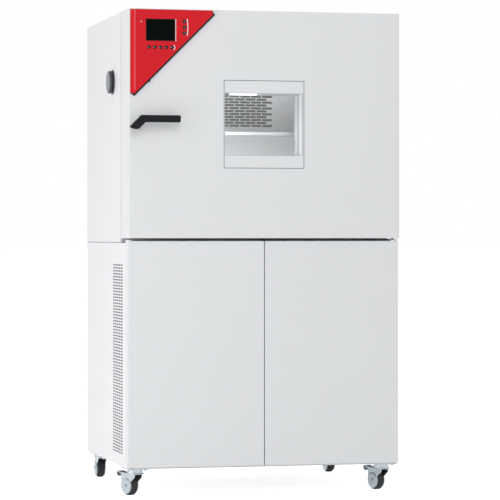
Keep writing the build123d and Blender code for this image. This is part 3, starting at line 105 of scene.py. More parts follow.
class ChamberColours(bpy.types.PropertyGroup):
    door: colour("Door coat", "#DFE1E3", "Powder coat of the upper door and both lower doors")
    housing: colour("Housing coat", "#E6E6E9", "Powder coat of the side, roof and rear sheets")
    frame_coat: colour("Frame coat", "#55585A", "Coat of the base frame, the deck and the cabinet inside")
    cover: colour("Panel cover", "#CF0A1C", "Moulded triangular cover of the control panel")
    box: colour("Panel box", "#2A2D30", "Moulded housing behind the control panel")
    handle: colour("Handle", "#121417", "Moulded door lever")
    key: colour("Keys", "#0C1214", "Round keys of the control panel")
    print_line: colour("Printed lines", "#EDEFF0", "Lines printed round the keys and the display")


class ChamberSizes(bpy.types.PropertyGroup):
    seal_width: length("Window seal width", 2.0, "Width of the dark seal line round the window")
    spacer_depth: length("Pane spacer depth", 9.0, "Depth of each grey spacer between the panes")
    spacer_height: length("Pane spacer height", 1.8, "How far each spacer stands out of the tunnel's wall")
    print_width: length("Printed line width", 1.6, "Width of the lines printed on the panel")
    screw_head: length("Screw head", 9.0, "Diameter of the pan heads in the rear sheets")
    cover_disc: length("Castor side cover", 62.0, "Diameter of the round cover on each castor leg")
    pipe: length("Refrigerant pipe", 12.0, "Outer diameter of the copper pipes")


# Materials

def add_node(tree, kind, inputs=None, **settings):
    """Adds one node; an input may be a value or the socket that feeds it."""
    node = tree.nodes.new(kind)
    for name, value in settings.items():
        setattr(node, name, value)
    for name, value in (inputs or {}).items():
        if isinstance(value, bpy.types.NodeSocket):
            tree.links.new(value, node.inputs[name])
        else:
            node.inputs[name].default_value = value
    return node


def new_material(name):
    """An empty node material with its output and the Object coordinates."""
    material = bpy.data.materials.new(name)
    material.use_nodes = True
    tree = material.node_tree
    tree.nodes.clear()
    output = add_node(tree, "ShaderNodeOutputMaterial")
    place = add_node(tree, "ShaderNodeTexCoord").outputs["Object"]
    return material, tree, output, place


def shade(code, factor):
    """A colour a little darker or lighter than the one given."""
    return [min(1.0, part * factor) for part in code[:3]] + [1.0]


def between(tree, factor, first, second):
    """The colour between two, as the factor says."""
    mix = add_node(tree, "ShaderNodeMix", {0: factor, 6: first, 7: second}, data_type="RGBA")
    return mix.outputs[2]


def surface(name, base, rough, grain_mm, bump, mottle_mm=180.0, spread=0.03, metallic=0.0,
            stretch=(1.0, 1.0, 1.0), rough_spread=0.06, **sockets):
    """Grainy surface: fine noise lifts it, broad noise shifts its tone and its gloss."""
    material, tree, output, place = new_material(name)
    drawn = add_node(tree, "ShaderNodeMapping", {"Vector": place, "Scale": stretch}).outputs["Vector"]
    fine = add_node(tree, "ShaderNodeTexNoise",
                    {"Vector": drawn, "Scale": 1 / (grain_mm * MM), "Detail": 2.0})
    broad = add_node(tree, "ShaderNodeTexNoise",
                     {"Vector": place, "Scale": 1 / (mottle_mm * MM), "Detail": 3.0})
    tone = between(tree, broad.outputs["Fac"], shade(base, 1 - spread), shade(base, 1 + spread))
    gloss = add_node(tree, "ShaderNodeMapRange",
                     {"Value": fine.outputs["Fac"], "To Min": rough - rough_spread,
                      "To Max": rough + rough_spread})
    lift = add_node(tree, "ShaderNodeBump",
                    {"Height": fine.outputs["Fac"], "Strength": bump, "Distance": grain_mm * MM * 0.2})
    shader = add_node(tree, "ShaderNodeBsdfPrincipled",
                      {"Base Color": tone, "Roughness": gloss.outputs["Result"],
                       "Normal": lift.outputs["Normal"], "Metallic": metallic, **sockets})
    tree.links.new(shader.outputs[0], output.inputs["Surface"])
    return material


def powder_coat(name, base):
    """Polyester powder coat, sprayed and baked: even, with a faint orange peel of about 3 mm."""
    return surface(name, base, rough=0.42, grain_mm=3.0, bump=0.12, mottle_mm=260.0, spread=0.012,
                   rough_spread=0.04)


def moulded_plastic(name, base, rough, grain_mm=1.2):
    """ABS moulded in a spark-eroded tool: a fine even grain, its gloss broken by the texture."""
    return surface(name, base, rough=rough, grain_mm=grain_mm, bump=0.10, mottle_mm=90.0, spread=0.03,
                   **{"IOR": 1.53, "Specular IOR Level": 0.22})


def rolled_steel(name, base, rough, stretch, grain_mm=0.6):
    """Stainless sheet with the long fine lines of its rolling or brushing."""
    return surface(name, base, rough=rough, grain_mm=grain_mm, bump=0.16, mottle_mm=140.0, spread=0.05,
                   metallic=1.0, stretch=stretch, rough_spread=0.07)


def pane_glass(name):
    """Float glass: clear, mirroring softly, letting the room's light reach what is behind it."""
    material, tree, output, place = new_material(name)
    ripple = add_node(tree, "ShaderNodeTexNoise", {"Vector": place, "Scale": 1 / (160 * MM), "Detail": 1.0})
    lift = add_node(tree, "ShaderNodeBump",
                    {"Height": ripple.outputs["Fac"], "Strength": 0.02, "Distance": 0.2 * MM})
    glass = add_node(tree, "ShaderNodeBsdfPrincipled",
                     {"Base Color": linear("#FCFDFD"), "Roughness": 0.0, "IOR": 1.45,
                      "Transmission Weight": 1.0, "Normal": lift.outputs["Normal"]})
    clear = add_node(tree, "ShaderNodeBsdfTransparent", {"Color": linear("#FCFDFD")})
    path = add_node(tree, "ShaderNodeLightPath")
    either = add_node(tree, "ShaderNodeMath",
                      {0: path.outputs["Is Shadow Ray"], 1: path.outputs["Is Diffuse Ray"]},
                      operation="MAXIMUM")
    mix = add_node(tree, "ShaderNodeMixShader",
                   {0: either.outputs[0], 1: glass.outputs[0], 2: clear.outputs[0]})
    tree.links.new(mix.outputs[0], output.inputs["Surface"])
    return material


def mineral_wool(name, code):
    """Insulation board: fibres a few millimetres long, so it looks matted and matt."""
    return surface(name, linear(code), rough=0.95, grain_mm=4.0, bump=0.6, mottle_mm=30.0, spread=0.12,
                   stretch=(1.0, 1.0, 3.0))


def lit_diffuser(name):
    """Opal acrylic lamp cover, lit from behind; the faint mottle is in the moulding."""
    return surface(name, linear("#FBFBF8"), rough=0.35, grain_mm=2.0, bump=0.05, mottle_mm=40.0,
                   spread=0.01, **{"Emission Color": linear("#FFFFFF"), "Emission Strength": 0.9})


def finned_aluminium(name, axis):
    """Aluminium fins pressed on tubes at a 3 mm pitch, drawn as lines across the block; the dark lines are
    painted shade in the gaps between fins.
    """
    material, tree, output, place = new_material(name)
    lines = add_node(tree, "ShaderNodeTexWave", {"Vector": place, "Scale": 1 / (20 * 3 * MM)},
                     wave_type="BANDS", bands_direction=axis)
    tone = between(tree, lines.outputs["Fac"], linear("#5A5D60"), linear("#C9CCCE"))
    lift = add_node(tree, "ShaderNodeBump",
                    {"Height": lines.outputs["Fac"], "Strength": 0.5, "Distance": 0.5 * MM})
    shader = add_node(tree, "ShaderNodeBsdfPrincipled",
                      {"Base Color": tone, "Roughness": 0.4, "Metallic": 1.0,
                       "Normal": lift.outputs["Normal"]})
    tree.links.new(shader.outputs[0], output.inputs["Surface"])
    return material


def give(material, *nodes):
    """Puts one material on the CAD nodes named."""
    for name in nodes:
        slots = frame["nodes"][name].data.materials
        slots.clear()
        slots.append(material)


class ChamberFinishes(bpy.types.Operator):
    """Gives every CAD part of the chamber its finish"""
    bl_idname = "chamber.finishes"
    bl_label = "Finishes"

    def execute(self, context):
        tint = context.scene.chamber_colours
        # Powder coats: the same light grey on all the doors, a trace lighter on the housing
        give(powder_coat("door_powder_coat", tint.door), "door_skin", "window_frame",
             "lower_left_door", "lower_right_door")
        give(powder_coat("housing_powder_coat", tint.housing), "lower_left_panel", "lower_right_panel",
             "lower_rear_panel", "upper_left_panel", "upper_right_panel", "top_panel",
             "upper_rear_panel", "hinge_brackets", "front_collar", "base_frame")
        # Powder coat of the deck and the cabinet: dark grey, so the inside stays quiet
        give(powder_coat("frame_powder_coat", tint.frame_coat), "mid_deck", "electrical_box")
        # Moulded ABS: the red cover has a satin gloss, the box behind it is nearly black and duller
        give(moulded_plastic("red_abs_cover", tint.cover, 0.36), "panel_cover")
        give(moulded_plastic("dark_abs_box", tint.box, 0.45), "control_box")
        # Glass-filled nylon, moulded: black and almost without gloss
        give(surface("glass_filled_nylon_lever", tint.handle, rough=0.42, grain_mm=1.2, bump=0.1,
                     mottle_mm=90.0, spread=0.03, **{"IOR": 1.53, "Specular IOR Level": 0.14}),
             "handle_lever")
        # ABS keys from a polished tool: a small sharp highlight on each
        give(moulded_plastic("polished_abs_key", tint.key, 0.3),
             *[f"row_key_{n + 1}" for n in range(ROW_KEYS)],
             *[f"column_key_{n + 1}" for n in range(COLUMN_KEYS)])
        # Hardened display glass over a dark panel: nearly black with a sharp gloss
        give(surface("dark_display_glass", linear("#060D0A"), rough=0.1, grain_mm=2.0, bump=0.02,
                     mottle_mm=60.0, spread=0.1, rough_spread=0.03, **{"Specular IOR Level": 0.02}),
             "display")
        # Clear panes, with the lamp's even white cover behind them
        give(pane_glass("clear_float_glass"), "window_panes")
        give(lit_diffuser("opal_acrylic_lamp"), "light_bar")
        # Cold rolled stainless sheet, its rolling lines running across the chamber
        give(rolled_steel("rolled_stainless_across", linear("#DBDBDD"), 0.42, (0.02, 1.0, 1.0)),
             "air_baffle", "door_inner_panel", "shelf", "latch_keeper")
        give(rolled_steel("rolled_stainless_along", linear("#E2E2E4"), 0.3, (1.0, 0.02, 1.0)),
             "chamber_liner", "shelf_runners")
        # Nickel steel heater sheath, drawn and annealed: dull and brownish
        give(rolled_steel("annealed_heater_sheath", linear("#7C7671"), 0.5, (1.0, 1.0, 1.0)), "heater_coil")
        # Mineral wool, felted: straw coloured and fibrous where an edge is open
        give(mineral_wool("matted_mineral_wool", "#D8CFA4"), "chamber_insulation", "door_core")
        # Silicone, cast: soft sheen with a trace of dust
        give(surface("cast_silicone_stopper", linear("#45484D"), rough=0.6, grain_mm=1.5, bump=0.12,
                     mottle_mm=50.0, spread=0.05, **{"Specular IOR Level": 0.3}), "port_plug", "port_tube")
        # Silicone, extruded: a dull black line round the test space
        give(surface("extruded_silicone_seal", linear("#2B2D2F"), rough=0.6, grain_mm=1.5, bump=0.15,
                     mottle_mm=60.0, spread=0.06), "door_gasket")
        # Condenser block in black lacquer, matt, with dust held between its fins; the black also paints the
        # shade seen through the side vents
        give(surface("black_lacquered_fins", linear("#151617"), rough=0.6, grain_mm=1.2, bump=0.3,
                     mottle_mm=40.0, spread=0.1, stretch=(1, 1, 6)),
             "condenser")
        # Aluminium fins, pressed: fine bright and dark lines, the dark ones painted shade between the fins
        give(finned_aluminium("pressed_evaporator_fins", "X"), "evaporator")
        # Aluminium impeller, pressed and tumbled: an even satin grey
        give(surface("tumbled_aluminium_fan", linear("#B4B7BA"), rough=0.4, grain_mm=0.8, bump=0.15,
                     mottle_mm=50.0, spread=0.04, metallic=1.0),
             "circulation_fan")
        # Enamel, baked on steel: black with a soft gloss
        give(surface("black_enamel_motor", linear("#1B1C1E"), rough=0.3, grain_mm=1.5, bump=0.1,
                     mottle_mm=70.0, spread=0.05),
             "fan_motor", "compressor")
        # Nylon, moulded: plain black, half matt
        give(moulded_plastic("black_nylon_fan", linear("#17181A"), 0.45), "condenser_fan", "cable_gland")
        # Zinc plate over pressed steel: bluish, with broad soft patches
        give(surface("zinc_plated_steel", linear("#AEB7BD"), rough=0.36, grain_mm=0.7, bump=0.2,
                     mottle_mm=18.0, spread=0.07, metallic=1.0),
             "caster_plates", *[f"caster_fork_{n}" for n in CASTERS],
             *[f"brake_pedal_{n}" for n in CASTERS[:2]])
        # Grey rubber tyre vulcanised on a nylon wheel: matt, with handling dust
        give(surface("dark_grey_rubber_tyre", linear("#2B2B2F"), rough=0.8, grain_mm=1.2, bump=0.25,
                     mottle_mm=25.0, spread=0.12),
             *[f"caster_wheel_{n}" for n in CASTERS])
        return {"FINISHED"}


# Modelling

def start_piece():
    """Nothing selected, ready for a new primitive."""
    if bpy.context.object and bpy.context.object.mode != "OBJECT":
        bpy.ops.object.mode_set(mode="OBJECT")
    bpy.ops.object.select_all(action="DESELECT")


def block(low, high):
    """A cube between two corners, left in object mode with its place in its mesh."""
    start_piece()
    middle = [(a + b) / 2 for a, b in zip(low, high)]
    bpy.ops.mesh.primitive_cube_add(size=1, location=middle)
    bpy.context.object.scale = [b - a for a, b in zip(low, high)]
    bpy.ops.object.transform_apply(location=True, rotation=True, scale=True)
    return bpy.context.object


def disc(centre, radius, thick, towards, sides=32):
    """A cylinder whose axis points along a direction, its middle at the centre."""
    start_piece()
    turn = Vector(towards).to_track_quat("Z", "Y").to_euler()
    bpy.ops.mesh.primitive_cylinder_add(vertices=sides, radius=radius, depth=thick,
                                        location=centre, rotation=turn)
    bpy.ops.object.transform_apply(location=True, rotation=True, scale=True)
    return bpy.context.object


def pick_faces(obj, test):
    """Selects in edit mode the faces whose normal passes the test."""
    bpy.ops.object.mode_set(mode="EDIT")
    bpy.ops.mesh.select_mode(type="FACE")
    bpy.ops.mesh.select_all(action="DESELECT")
    bpy.ops.object.mode_set(mode="OBJECT")
    for face in obj.data.polygons:
        face.select = bool(test(face.normal))
    bpy.ops.object.mode_set(mode="EDIT")


def shape_face(obj, towards, *steps):
    """Insets the face that looks towards a direction and moves it out, a step at a time."""
    towards = Vector(towards)
    pick_faces(obj, lambda normal: normal.dot(towards) > FACING)
    for inset, rise in steps:
        bpy.ops.mesh.inset(thickness=inset)
        if rise:
            bpy.ops.transform.translate(value=towards * rise)
    bpy.ops.object.mode_set(mode="OBJECT")
    return obj


def hollow(obj, along, wall):
    """Opens a block right through along a direction, leaving a wall all round."""
    pick_faces(obj, lambda normal: abs(normal.dot(Vector(along))) > FACING)
    bpy.ops.mesh.inset(thickness=wall, use_even_offset=True)
    bpy.ops.mesh.bridge_edge_loops()
    bpy.ops.mesh.select_all(action="SELECT")
    bpy.ops.mesh.normals_make_consistent(inside=False)
    bpy.ops.object.mode_set(mode="OBJECT")
    return obj


def ring(low, high, wall):
    """A rectangular ring that is open from front to back."""
    return hollow(block(low, high), FRONT, wall)


def soften(obj, width, segments=2):
    """Rounds all sharp edges by a bevel modifier and applies it."""
    rounding = obj.modifiers.new("rounding", "BEVEL")
    rounding.width = width
    rounding.segments = segments
    rounding.limit_method = "ANGLE"
    bpy.context.view_layer.objects.active = obj
    bpy.ops.object.modifier_apply(modifier="rounding")
    bpy.ops.object.shade_smooth_by_angle(angle=radians(35))


def repeat(obj, count, step):
    """Copies of a piece in a row, by an array modifier that is applied."""
    row = obj.modifiers.new("row", "ARRAY")
    row.count = count
    row.use_relative_offset = False
    row.use_constant_offset = True
    row.constant_offset_displace = step
    bpy.context.view_layer.objects.active = obj
    bpy.ops.object.modifier_apply(modifier="row")
    return obj


def join(pieces):
    """Joins pieces into the first one."""
    start_piece()
    for piece in pieces:
        piece.select_set(True)
    bpy.context.view_layer.objects.active = pieces[0]
    bpy.ops.object.join()
    return pieces[0]


def finish(obj, name, body, material):
    """Names a piece, gives it its material and slot, and lets it ride on its body."""
    obj.name = name
    obj.data.name = name
    obj.data.materials.clear()
    obj.data.materials.append(material)
    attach(obj, body)
    return obj


def joint(name):
    """A joint of the frame, found by its name."""
    return next(j for j in frame["joints"] if j["name"] == name)


class ChamberWindow(bpy.types.Operator):
    """Adds the seal line round the window and the grey spacers behind its panes"""
    bl_idname = "chamber.window"
    bl_label = "Window seal and spacers"

    def execute(self, context):
        sizes = context.scene.chamber_sizes
        low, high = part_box("window_frame")
        # Extruded EPDM seal: matt black with a faint grain
        seal_rubber = surface("extruded_epdm_seal", linear("#34373A"), rough=0.7, grain_mm=1.0,
                              bump=0.15, mottle_mm=40.0, spread=0.05)
        proud, sunk = 0.3 * MM, 0.2 * MM
        half = sizes.seal_width / 2
        seal = ring((low.x - half, DOOR_FRONT - proud, low.z - half),
                    (high.x + half, DOOR_FRONT + sunk, high.z + half), sizes.seal_width)
        finish(seal, "window_seal", "door", seal_rubber)
        pane_low, pane_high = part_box("window_panes")
        pane = 5 * MM
        pitch = (pane_high.y - pane_low.y - pane) / 2
        # Butyl-sealed spacer bar: matt light grey plastic, which keeps the reveal pale
        spacer_plastic = moulded_plastic("grey_butyl_spacer", linear("#B4B7B9"), 0.6)
        for number in range(2):
            front = pane_low.y + pitch * number + pane
            back = front + pitch - pane - sizes.spacer_depth
            for side, start in (("front", front), ("back", back)):
                spacer = ring((pane_low.x, start, pane_low.z),
                              (pane_high.x, start + sizes.spacer_depth, pane_high.z), sizes.spacer_height)
                finish(spacer, f"pane_spacer_{side}_{number + 1}", "door", spacer_plastic)
        return {"FINISHED"}


def printed_bar(x0, x1, z0, z1):
    """A thin bar of ink on the front of the control panel."""
    proud, sunk, edge = 0.25 * MM, 0.1 * MM, 0.1 * MM
    bar = block((x0, PANEL_FRONT - proud, z0), (x1, PANEL_FRONT + sunk, z1))
    soften(bar, edge, 1)
    return bar


def printed_bracket(centre_x, centre_z, up, bow, thick):
    """A printed arc that bulges to the right, made of short bars that overlap a little."""
    count, overlap = 7, 1.15
    half = up / count * overlap
    bars = []
    for number in range(count):
        share = (number + 0.5) / count * 2 - 1
        x = centre_x + bow * cos(share * pi / 2)
        z = centre_z + up * share
        bars.append(printed_bar(x - thick / 2, x + thick / 2, z - half, z + half))
    return bars


class ChamberPanelMarks(bpy.types.Operator):
    """Adds the control panel's printed lines, surround, key marks (painted highlights on the row's keys),
    bead with a painted highlight, rim stop and lamp lens
    """
    bl_idname = "chamber.panel_marks"
    bl_label = "Panel marks"

    def execute(self, context):
        tint, width = context.scene.chamber_colours, context.scene.chamber_sizes.print_width
        low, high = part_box("display")
        flange = 6 * MM
        self.add_print(tint, width, low.z + flange, high.z - flange, high.x - flange)
        # Hard-coated bezel: satin dark metal look
        bezel = surface("satin_black_bezel", linear("#0E1011"), rough=0.45, grain_mm=0.8, bump=0.08,
                        mottle_mm=30.0, spread=0.04, **{"Specular IOR Level": 0.15})
        proud, sunk, border = 0.2 * MM, 1.2 * MM, 3.2 * MM
        surround = ring((low.x + flange, PANEL_FRONT - proud, low.z + flange),
                        (high.x - flange, PANEL_FRONT + sunk, high.z - flange), border)
        finish(surround, "display_surround", "door", bezel)
        self.add_key_marks()
        self.add_fittings()
        return {"FINISHED"}

    def add_print(self, tint, width, bottom, top, right):
        """The line beside the display and the brackets beside the keys, in one piece."""
        edge = right + 1.2 * MM
        bars = [printed_bar(edge, edge + width * 1.4, bottom, top)]
        row_low, row_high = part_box(f"row_key_{ROW_KEYS}")
        bars += printed_bracket((row_low.x + row_high.x) / 2 + 8 * MM, (row_low.z + row_high.z) / 2,
                                up=10 * MM, bow=3.5 * MM, thick=width * 1.9)
        top_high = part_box("column_key_1")[1]
        end_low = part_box(f"column_key_{COLUMN_KEYS}")[0]
        bars += printed_bracket((top_high.x + end_low.x) / 2 + 11.5 * MM, (top_high.z + end_low.z) / 2,
                                up=(top_high.z - end_low.z) / 2 + 1 * MM, bow=3 * MM, thick=width * 2.1)
        # Screen-printed ink: a thin matt layer
        finish(join(bars), "panel_print", "door",
               surface("screen_printed_ink", tint.print_line, rough=0.6, grain_mm=0.8, bump=0.05,
                       mottle_mm=40.0, spread=0.02))

    def add_key_marks(self):
        """A round mark on each key: a light dot at the left of the row's keys, a painted highlight, and
        teal on the column's.
        """
        # Painted highlight: the light dots stand for the glint on each domed row key
        light = surface("pad_printed_white_mark", linear("#D5DADC"), rough=0.5, grain_mm=0.8, bump=0.05,
                        mottle_mm=20.0, spread=0.03)
        teal = surface("pad_printed_teal_mark", linear("#6E9296"), rough=0.5, grain_mm=0.8, bump=0.05,
                       mottle_mm=20.0, spread=0.03)
        row_aside, row_radius = -3.6 * MM, 1.4 * MM
        column_aside, column_radius = 0.6 * MM, 2.3 * MM
        keys = [(f"row_key_{n + 1}", row_aside, row_radius, light) for n in range(ROW_KEYS)]
        keys += [(f"column_key_{n + 1}", column_aside, column_radius, teal) for n in range(COLUMN_KEYS)]
        thick, edge = 0.3 * MM, 0.1 * MM
        for key, aside, radius, mark in keys:
            low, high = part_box(key)
            centre = ((low.x + high.x) / 2 + aside, low.y, (low.z + high.z) / 2)
            dot = disc(centre, radius, thick, FRONT, 24)
            soften(dot, edge, 1)
            finish(dot, f"{key}_mark", key, mark)

    def add_fittings(self):
        """The paler bead along the bevel, a painted highlight, the stop on the rim and the status lamp's
        lens.
        """
        bead_x, half = PANEL_LEFT + 17 * MM, 1.2 * MM
        proud, sunk = 0.5 * MM, 0.3 * MM
        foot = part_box("panel_cover")[0].z
        bead = block((bead_x - half, PANEL_FRONT - proud, foot + 12 * MM),
                     (bead_x + half, PANEL_FRONT + sunk, PANEL_TOP - 2 * MM))
        soften(bead, 0.4 * MM)
        # Painted highlight: a paler red bead along the bevel's crest
        finish(bead, "panel_bead", "door",
               surface("polished_red_bead", linear("#F0707C"), rough=0.3, grain_mm=1.2, bump=0.05,
                       mottle_mm=60.0, spread=0.03))
        stop_place = (PANEL_LEFT + 75 * MM, PANEL_FRONT + 0.2 * MM, PANEL_TOP - 284 * MM)
        stop = disc(stop_place, 4.5 * MM, 2 * MM, FRONT, 24)
        soften(stop, 0.5 * MM)
        # Rubber stop: matt black, dusty in the recesses
        finish(stop, "rim_stop", "door",
               surface("black_rubber_stop", linear("#121315"), rough=0.7, grain_mm=1.2, bump=0.2,
                       mottle_mm=20.0, spread=0.05))
        lens_place = (PANEL_LEFT + 43 * MM, PANEL_FRONT - 0.2 * MM, PANEL_TOP - 49 * MM)
        start_piece()
        bpy.ops.mesh.primitive_uv_sphere_add(segments=24, ring_count=12, radius=2.4 * MM,
                                             location=lens_place)
        bpy.context.object.scale.y = 0.5
        bpy.ops.object.transform_apply(location=True, rotation=True, scale=True)
        bpy.ops.object.shade_smooth()
        # Cast epoxy lens: clear white with a sharp gloss
        finish(bpy.context.object, "status_lamp_lens", "door",
               surface("clear_epoxy_lens", linear("#F2F4F2"), rough=0.15, grain_mm=0.8, bump=0.02,
                       mottle_mm=10.0, spread=0.02, IOR=1.5))


class ChamberHandle(bpy.types.Operator):
    """Adds the cap over the lever's screw"""
    bl_idname = "chamber.handle"
    bl_label = "Handle cap"

    def execute(self, context):
        tint = context.scene.chamber_colours
        x, _, z = joint("handle_turn")["pos_m"]
        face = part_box("handle_lever")[0].y
        # Nylon, moulded: as black as the lever, a little glossier
        nylon = moulded_plastic("black_nylon_cap", tint.handle, 0.34)
        radius, thick, rim, dish = 7 * MM, 0.8 * MM, 1.8 * MM, 0.3 * MM
        cap = shape_face(disc((x, face, z), radius, thick, FRONT), FRONT, (rim, -dish))
        soften(cap, 0.2 * MM)
        finish(cap, "lever_cap", "handle", nylon)
        return {"FINISHED"}


def screw(name, seat, towards, radius, material, body):
    """A pan-head screw with a round socket, its head standing on the seat."""
    height, socket_wall, socket_depth = 2.4 * MM, radius * 0.5, 1.2 * MM
    head = disc(Vector(seat) + Vector(towards) * height / 2, radius, height, towards, 24)
    shape_face(head, towards, (socket_wall, -socket_depth))
    soften(head, 0.7 * MM)
    return finish(head, name, body, material)


class ChamberScrews(bpy.types.Operator):
    """Adds the screws of the rear sheets and of the electrical cabinet's lid"""
    bl_idname = "chamber.screws"
    bl_label = "Screws"

    def execute(self, context):
        radius = context.scene.chamber_sizes.screw_head / 2
        # Zinc-plated screw heads: bright, slightly bluish
        plated = surface("zinc_plated_screw", linear("#B4B8BC"), rough=0.3, grain_mm=0.5, bump=0.15,
                         mottle_mm=8.0, spread=0.06, metallic=1.0)
        inset, last = 16 * MM, 3
        for panel in ("lower_rear_panel", "upper_rear_panel"):
            low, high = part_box(panel)
            for row in range(last + 1):
                z = low.z + inset + (high.z - low.z - 2 * inset) * row / last
                for column in range(last + 1):
                    if 0 < column < last and 0 < row < last:
                        continue
                    x = low.x + inset + (high.x - low.x - 2 * inset) * column / last
                    screw(f"{panel}_screw_{row}_{column}", (x, high.y, z), (0, 1, 0), radius, plated,
                          "housing")
        low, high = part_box("electrical_box")
        for x in (low.x + inset, high.x - inset):
            for z in (low.z + 2 * inset, high.z - inset):
                screw(f"cabinet_screw_{round(x * 1000)}_{round(z * 1000)}", (x, low.y, z), FRONT,
                      radius, plated, "housing")
        return {"FINISHED"}


def side_cover(hub, out, radius):
    """The domed cover on one leg of a castor, with the axle's nut."""
    start, thick = 19.5 * MM, 1.2 * MM
    cover = disc(hub + out * (start + thick / 2), radius, thick, out, 40)
    dome = ((2, 0.7), (5, 0.6), (9, 0.3), (4, -0.6))
    shape_face(cover, out, *[(inset * MM, rise * MM) for inset, rise in dome])
    soften(cover, 0.3 * MM)
    nut = disc(hub + out * (start + 3.6 * MM), 6 * MM, 4 * MM, out, 6)
    soften(nut, 0.6 * MM)
    return join([cover, nut])


class ChamberCastors(bpy.types.Operator):
    """Adds the domed side covers, axle nuts and plate bolts of the four castors"""
    bl_idname = "chamber.castors"
    bl_label = "Castor fittings"

    def execute(self, context):
        radius = context.scene.chamber_sizes.cover_disc / 2
        # Zinc plate with soft patches, a little darker than the forks'
        plated = surface("zinc_plated_cover", linear("#A9B2B8"), rough=0.36, grain_mm=0.7, bump=0.2,
                         mottle_mm=16.0, spread=0.07, metallic=1.0)
        plate = 4 * MM
        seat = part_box("caster_plates")[1].z - plate
        bolt_radius, bolt_height, sunk = 6.5 * MM, 4.4 * MM, 2.2 * MM
        for name in CASTERS:
            roll = joint(f"wheel_{name}_roll")
            hub, axle = Vector(roll["pos_m"]), Vector(roll["axis"])
            for side, out in (("a", axle), ("b", -axle)):
                finish(side_cover(hub, out, radius), f"side_cover_{name}_{side}",
                       f"caster_{name}", plated)
            x, y = joint(f"caster_{name}_swivel")["pos_m"][:2]
            bolts = []
            for across in (-34 * MM, 34 * MM):
                for along in (-42 * MM, 42 * MM):
                    place = (x + across, y + along, seat - sunk)
                    bolt = disc(place, bolt_radius, bolt_height, (0, 0, -1), 6)
                    soften(bolt, 0.6 * MM)
                    bolts.append(bolt)
            finish(join(bolts), f"plate_bolts_{name}", "housing", plated)
        return {"FINISHED"}


def pipe(name, corners, radius, material, slot, body):
    """A tube along straight runs, bent at each corner, made a mesh."""
    straight = 0.15
    points = []
    for first, second in zip(corners, corners[1:]):
        points += [first, [f * (1 - straight) + s * straight for f, s in zip(first, second)],
                   [f * straight + s * (1 - straight) for f, s in zip(first, second)]]
    points.append(corners[-1])
    start_piece()
    bpy.ops.curve.primitive_bezier_curve_add(radius=1, location=(0, 0, 0))
    obj = bpy.context.object
    obj.data.splines.clear()
    run = obj.data.splines.new("NURBS")
    run.points.add(len(points) - 1)
    for point, place in zip(run.points, points):
        point.co = (*place, 1.0)
    run.order_u = 3
    run.use_endpoint_u = True
    run.resolution_u = 6
    obj.data.bevel_depth = radius
    obj.data.bevel_resolution = 5
    obj.data.use_fill_caps = True
    bpy.ops.object.convert(target="MESH")
    bpy.ops.object.shade_smooth_by_angle(angle=radians(40))
    return finish(bpy.context.object, name, body, material)


class ChamberPipes(bpy.types.Operator):
    """Adds the copper pipes between the compressor and the condenser"""
    bl_idname = "chamber.pipes"
    bl_label = "Refrigerant pipes"

    def execute(self, context):
        radius = context.scene.chamber_sizes.pipe / 2
        # Drawn copper tube with a light tarnish
        copper = surface("drawn_copper_tube", linear("#B87852"), rough=0.35, grain_mm=1.0, bump=0.1,
                         mottle_mm=35.0, spread=0.12, metallic=1.0)
        low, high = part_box("compressor")
        end_low, end_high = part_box("condenser")
        foot, inside, end_inset, end_reach = 28 * MM, 32 * MM, 30 * MM, 45 * MM
        y = (low.y + high.y) / 2
        end_y = end_high.y - end_inset
        # How far down the compressor, how far beside it, how far up the condenser
        for number, (drop, out, level) in enumerate(((0.25, 38 * MM, 0.8), (0.6, 68 * MM, 0.3))):
            z = high.z - (high.z - low.z - foot) * drop
            x = low.x - out
            end_z = end_low.z + (end_high.z - end_low.z) * level
            corners = [(low.x + inside, y, z), (x, y, z), (x, y, end_z), (x, end_y, end_z),
                       (end_low.x + end_reach, end_y, end_z)]
            pipe(f"copper_pipe_{number + 1}", corners, radius, copper, "fins", "housing")
        return {"FINISHED"}


class ChamberPort(bpy.types.Operator):
    """Adds the pale face disc of the port's stopper"""
    bl_idname = "chamber.port"
    bl_label = "Stopper face"

    def execute(self, context):
        low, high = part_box("port_plug")
        centre = (low.x, (low.y + high.y) / 2, (low.z + high.z) / 2)
        radius, thick, rim, slope, dish = 43 * MM, 0.8 * MM, 3 * MM, 24 * MM, 0.3 * MM
        face = shape_face(disc(centre, radius, thick, LEFT, 64), LEFT, (rim, 0), (slope, -dish))
        soften(face, 0.2 * MM)
        # Silicone face, paler than the stopper's body
        finish(face, "stopper_face", "plug",
               surface("worn_silicone_face", linear("#84878D"), rough=0.55, grain_mm=1.5, bump=0.12,
                       mottle_mm=20.0, spread=0.06))
        return {"FINISHED"}


class ChamberSlotShadePlate(bpy.types.Operator):
    """Adds a dark plate behind the baffle's slots, painted shade that darkens them"""
    bl_idname = "chamber.mesh"
    bl_label = "Slot shade plate"

    def execute(self, context):
        fan = joint("circulation_fan_spin")["pos_m"]
        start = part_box("air_baffle")[0].y + 6 * MM
        half_width, half_height, thick = 215 * MM, 122 * MM, 2 * MM
        mesh = block((fan[0] - half_width, start, fan[2] - half_height),
                     (fan[0] + half_width, start + thick, fan[2] + half_height))
        rim, sunk = 8 * MM, 0.6 * MM
        shape_face(mesh, FRONT, (rim, -sunk))
        soften(mesh, 0.5 * MM)
        # Painted shade: a matt black sheet with a 2 mm weave stands for the darkness behind the slots
        finish(mesh, "guard_mesh", "housing",
               surface("blackened_wire_cloth", linear("#16181A"), rough=0.8, grain_mm=2.0, bump=0.6,
                       mottle_mm=40.0, spread=0.2, **{"Specular IOR Level": 0.2}))
        return {"FINISHED"}


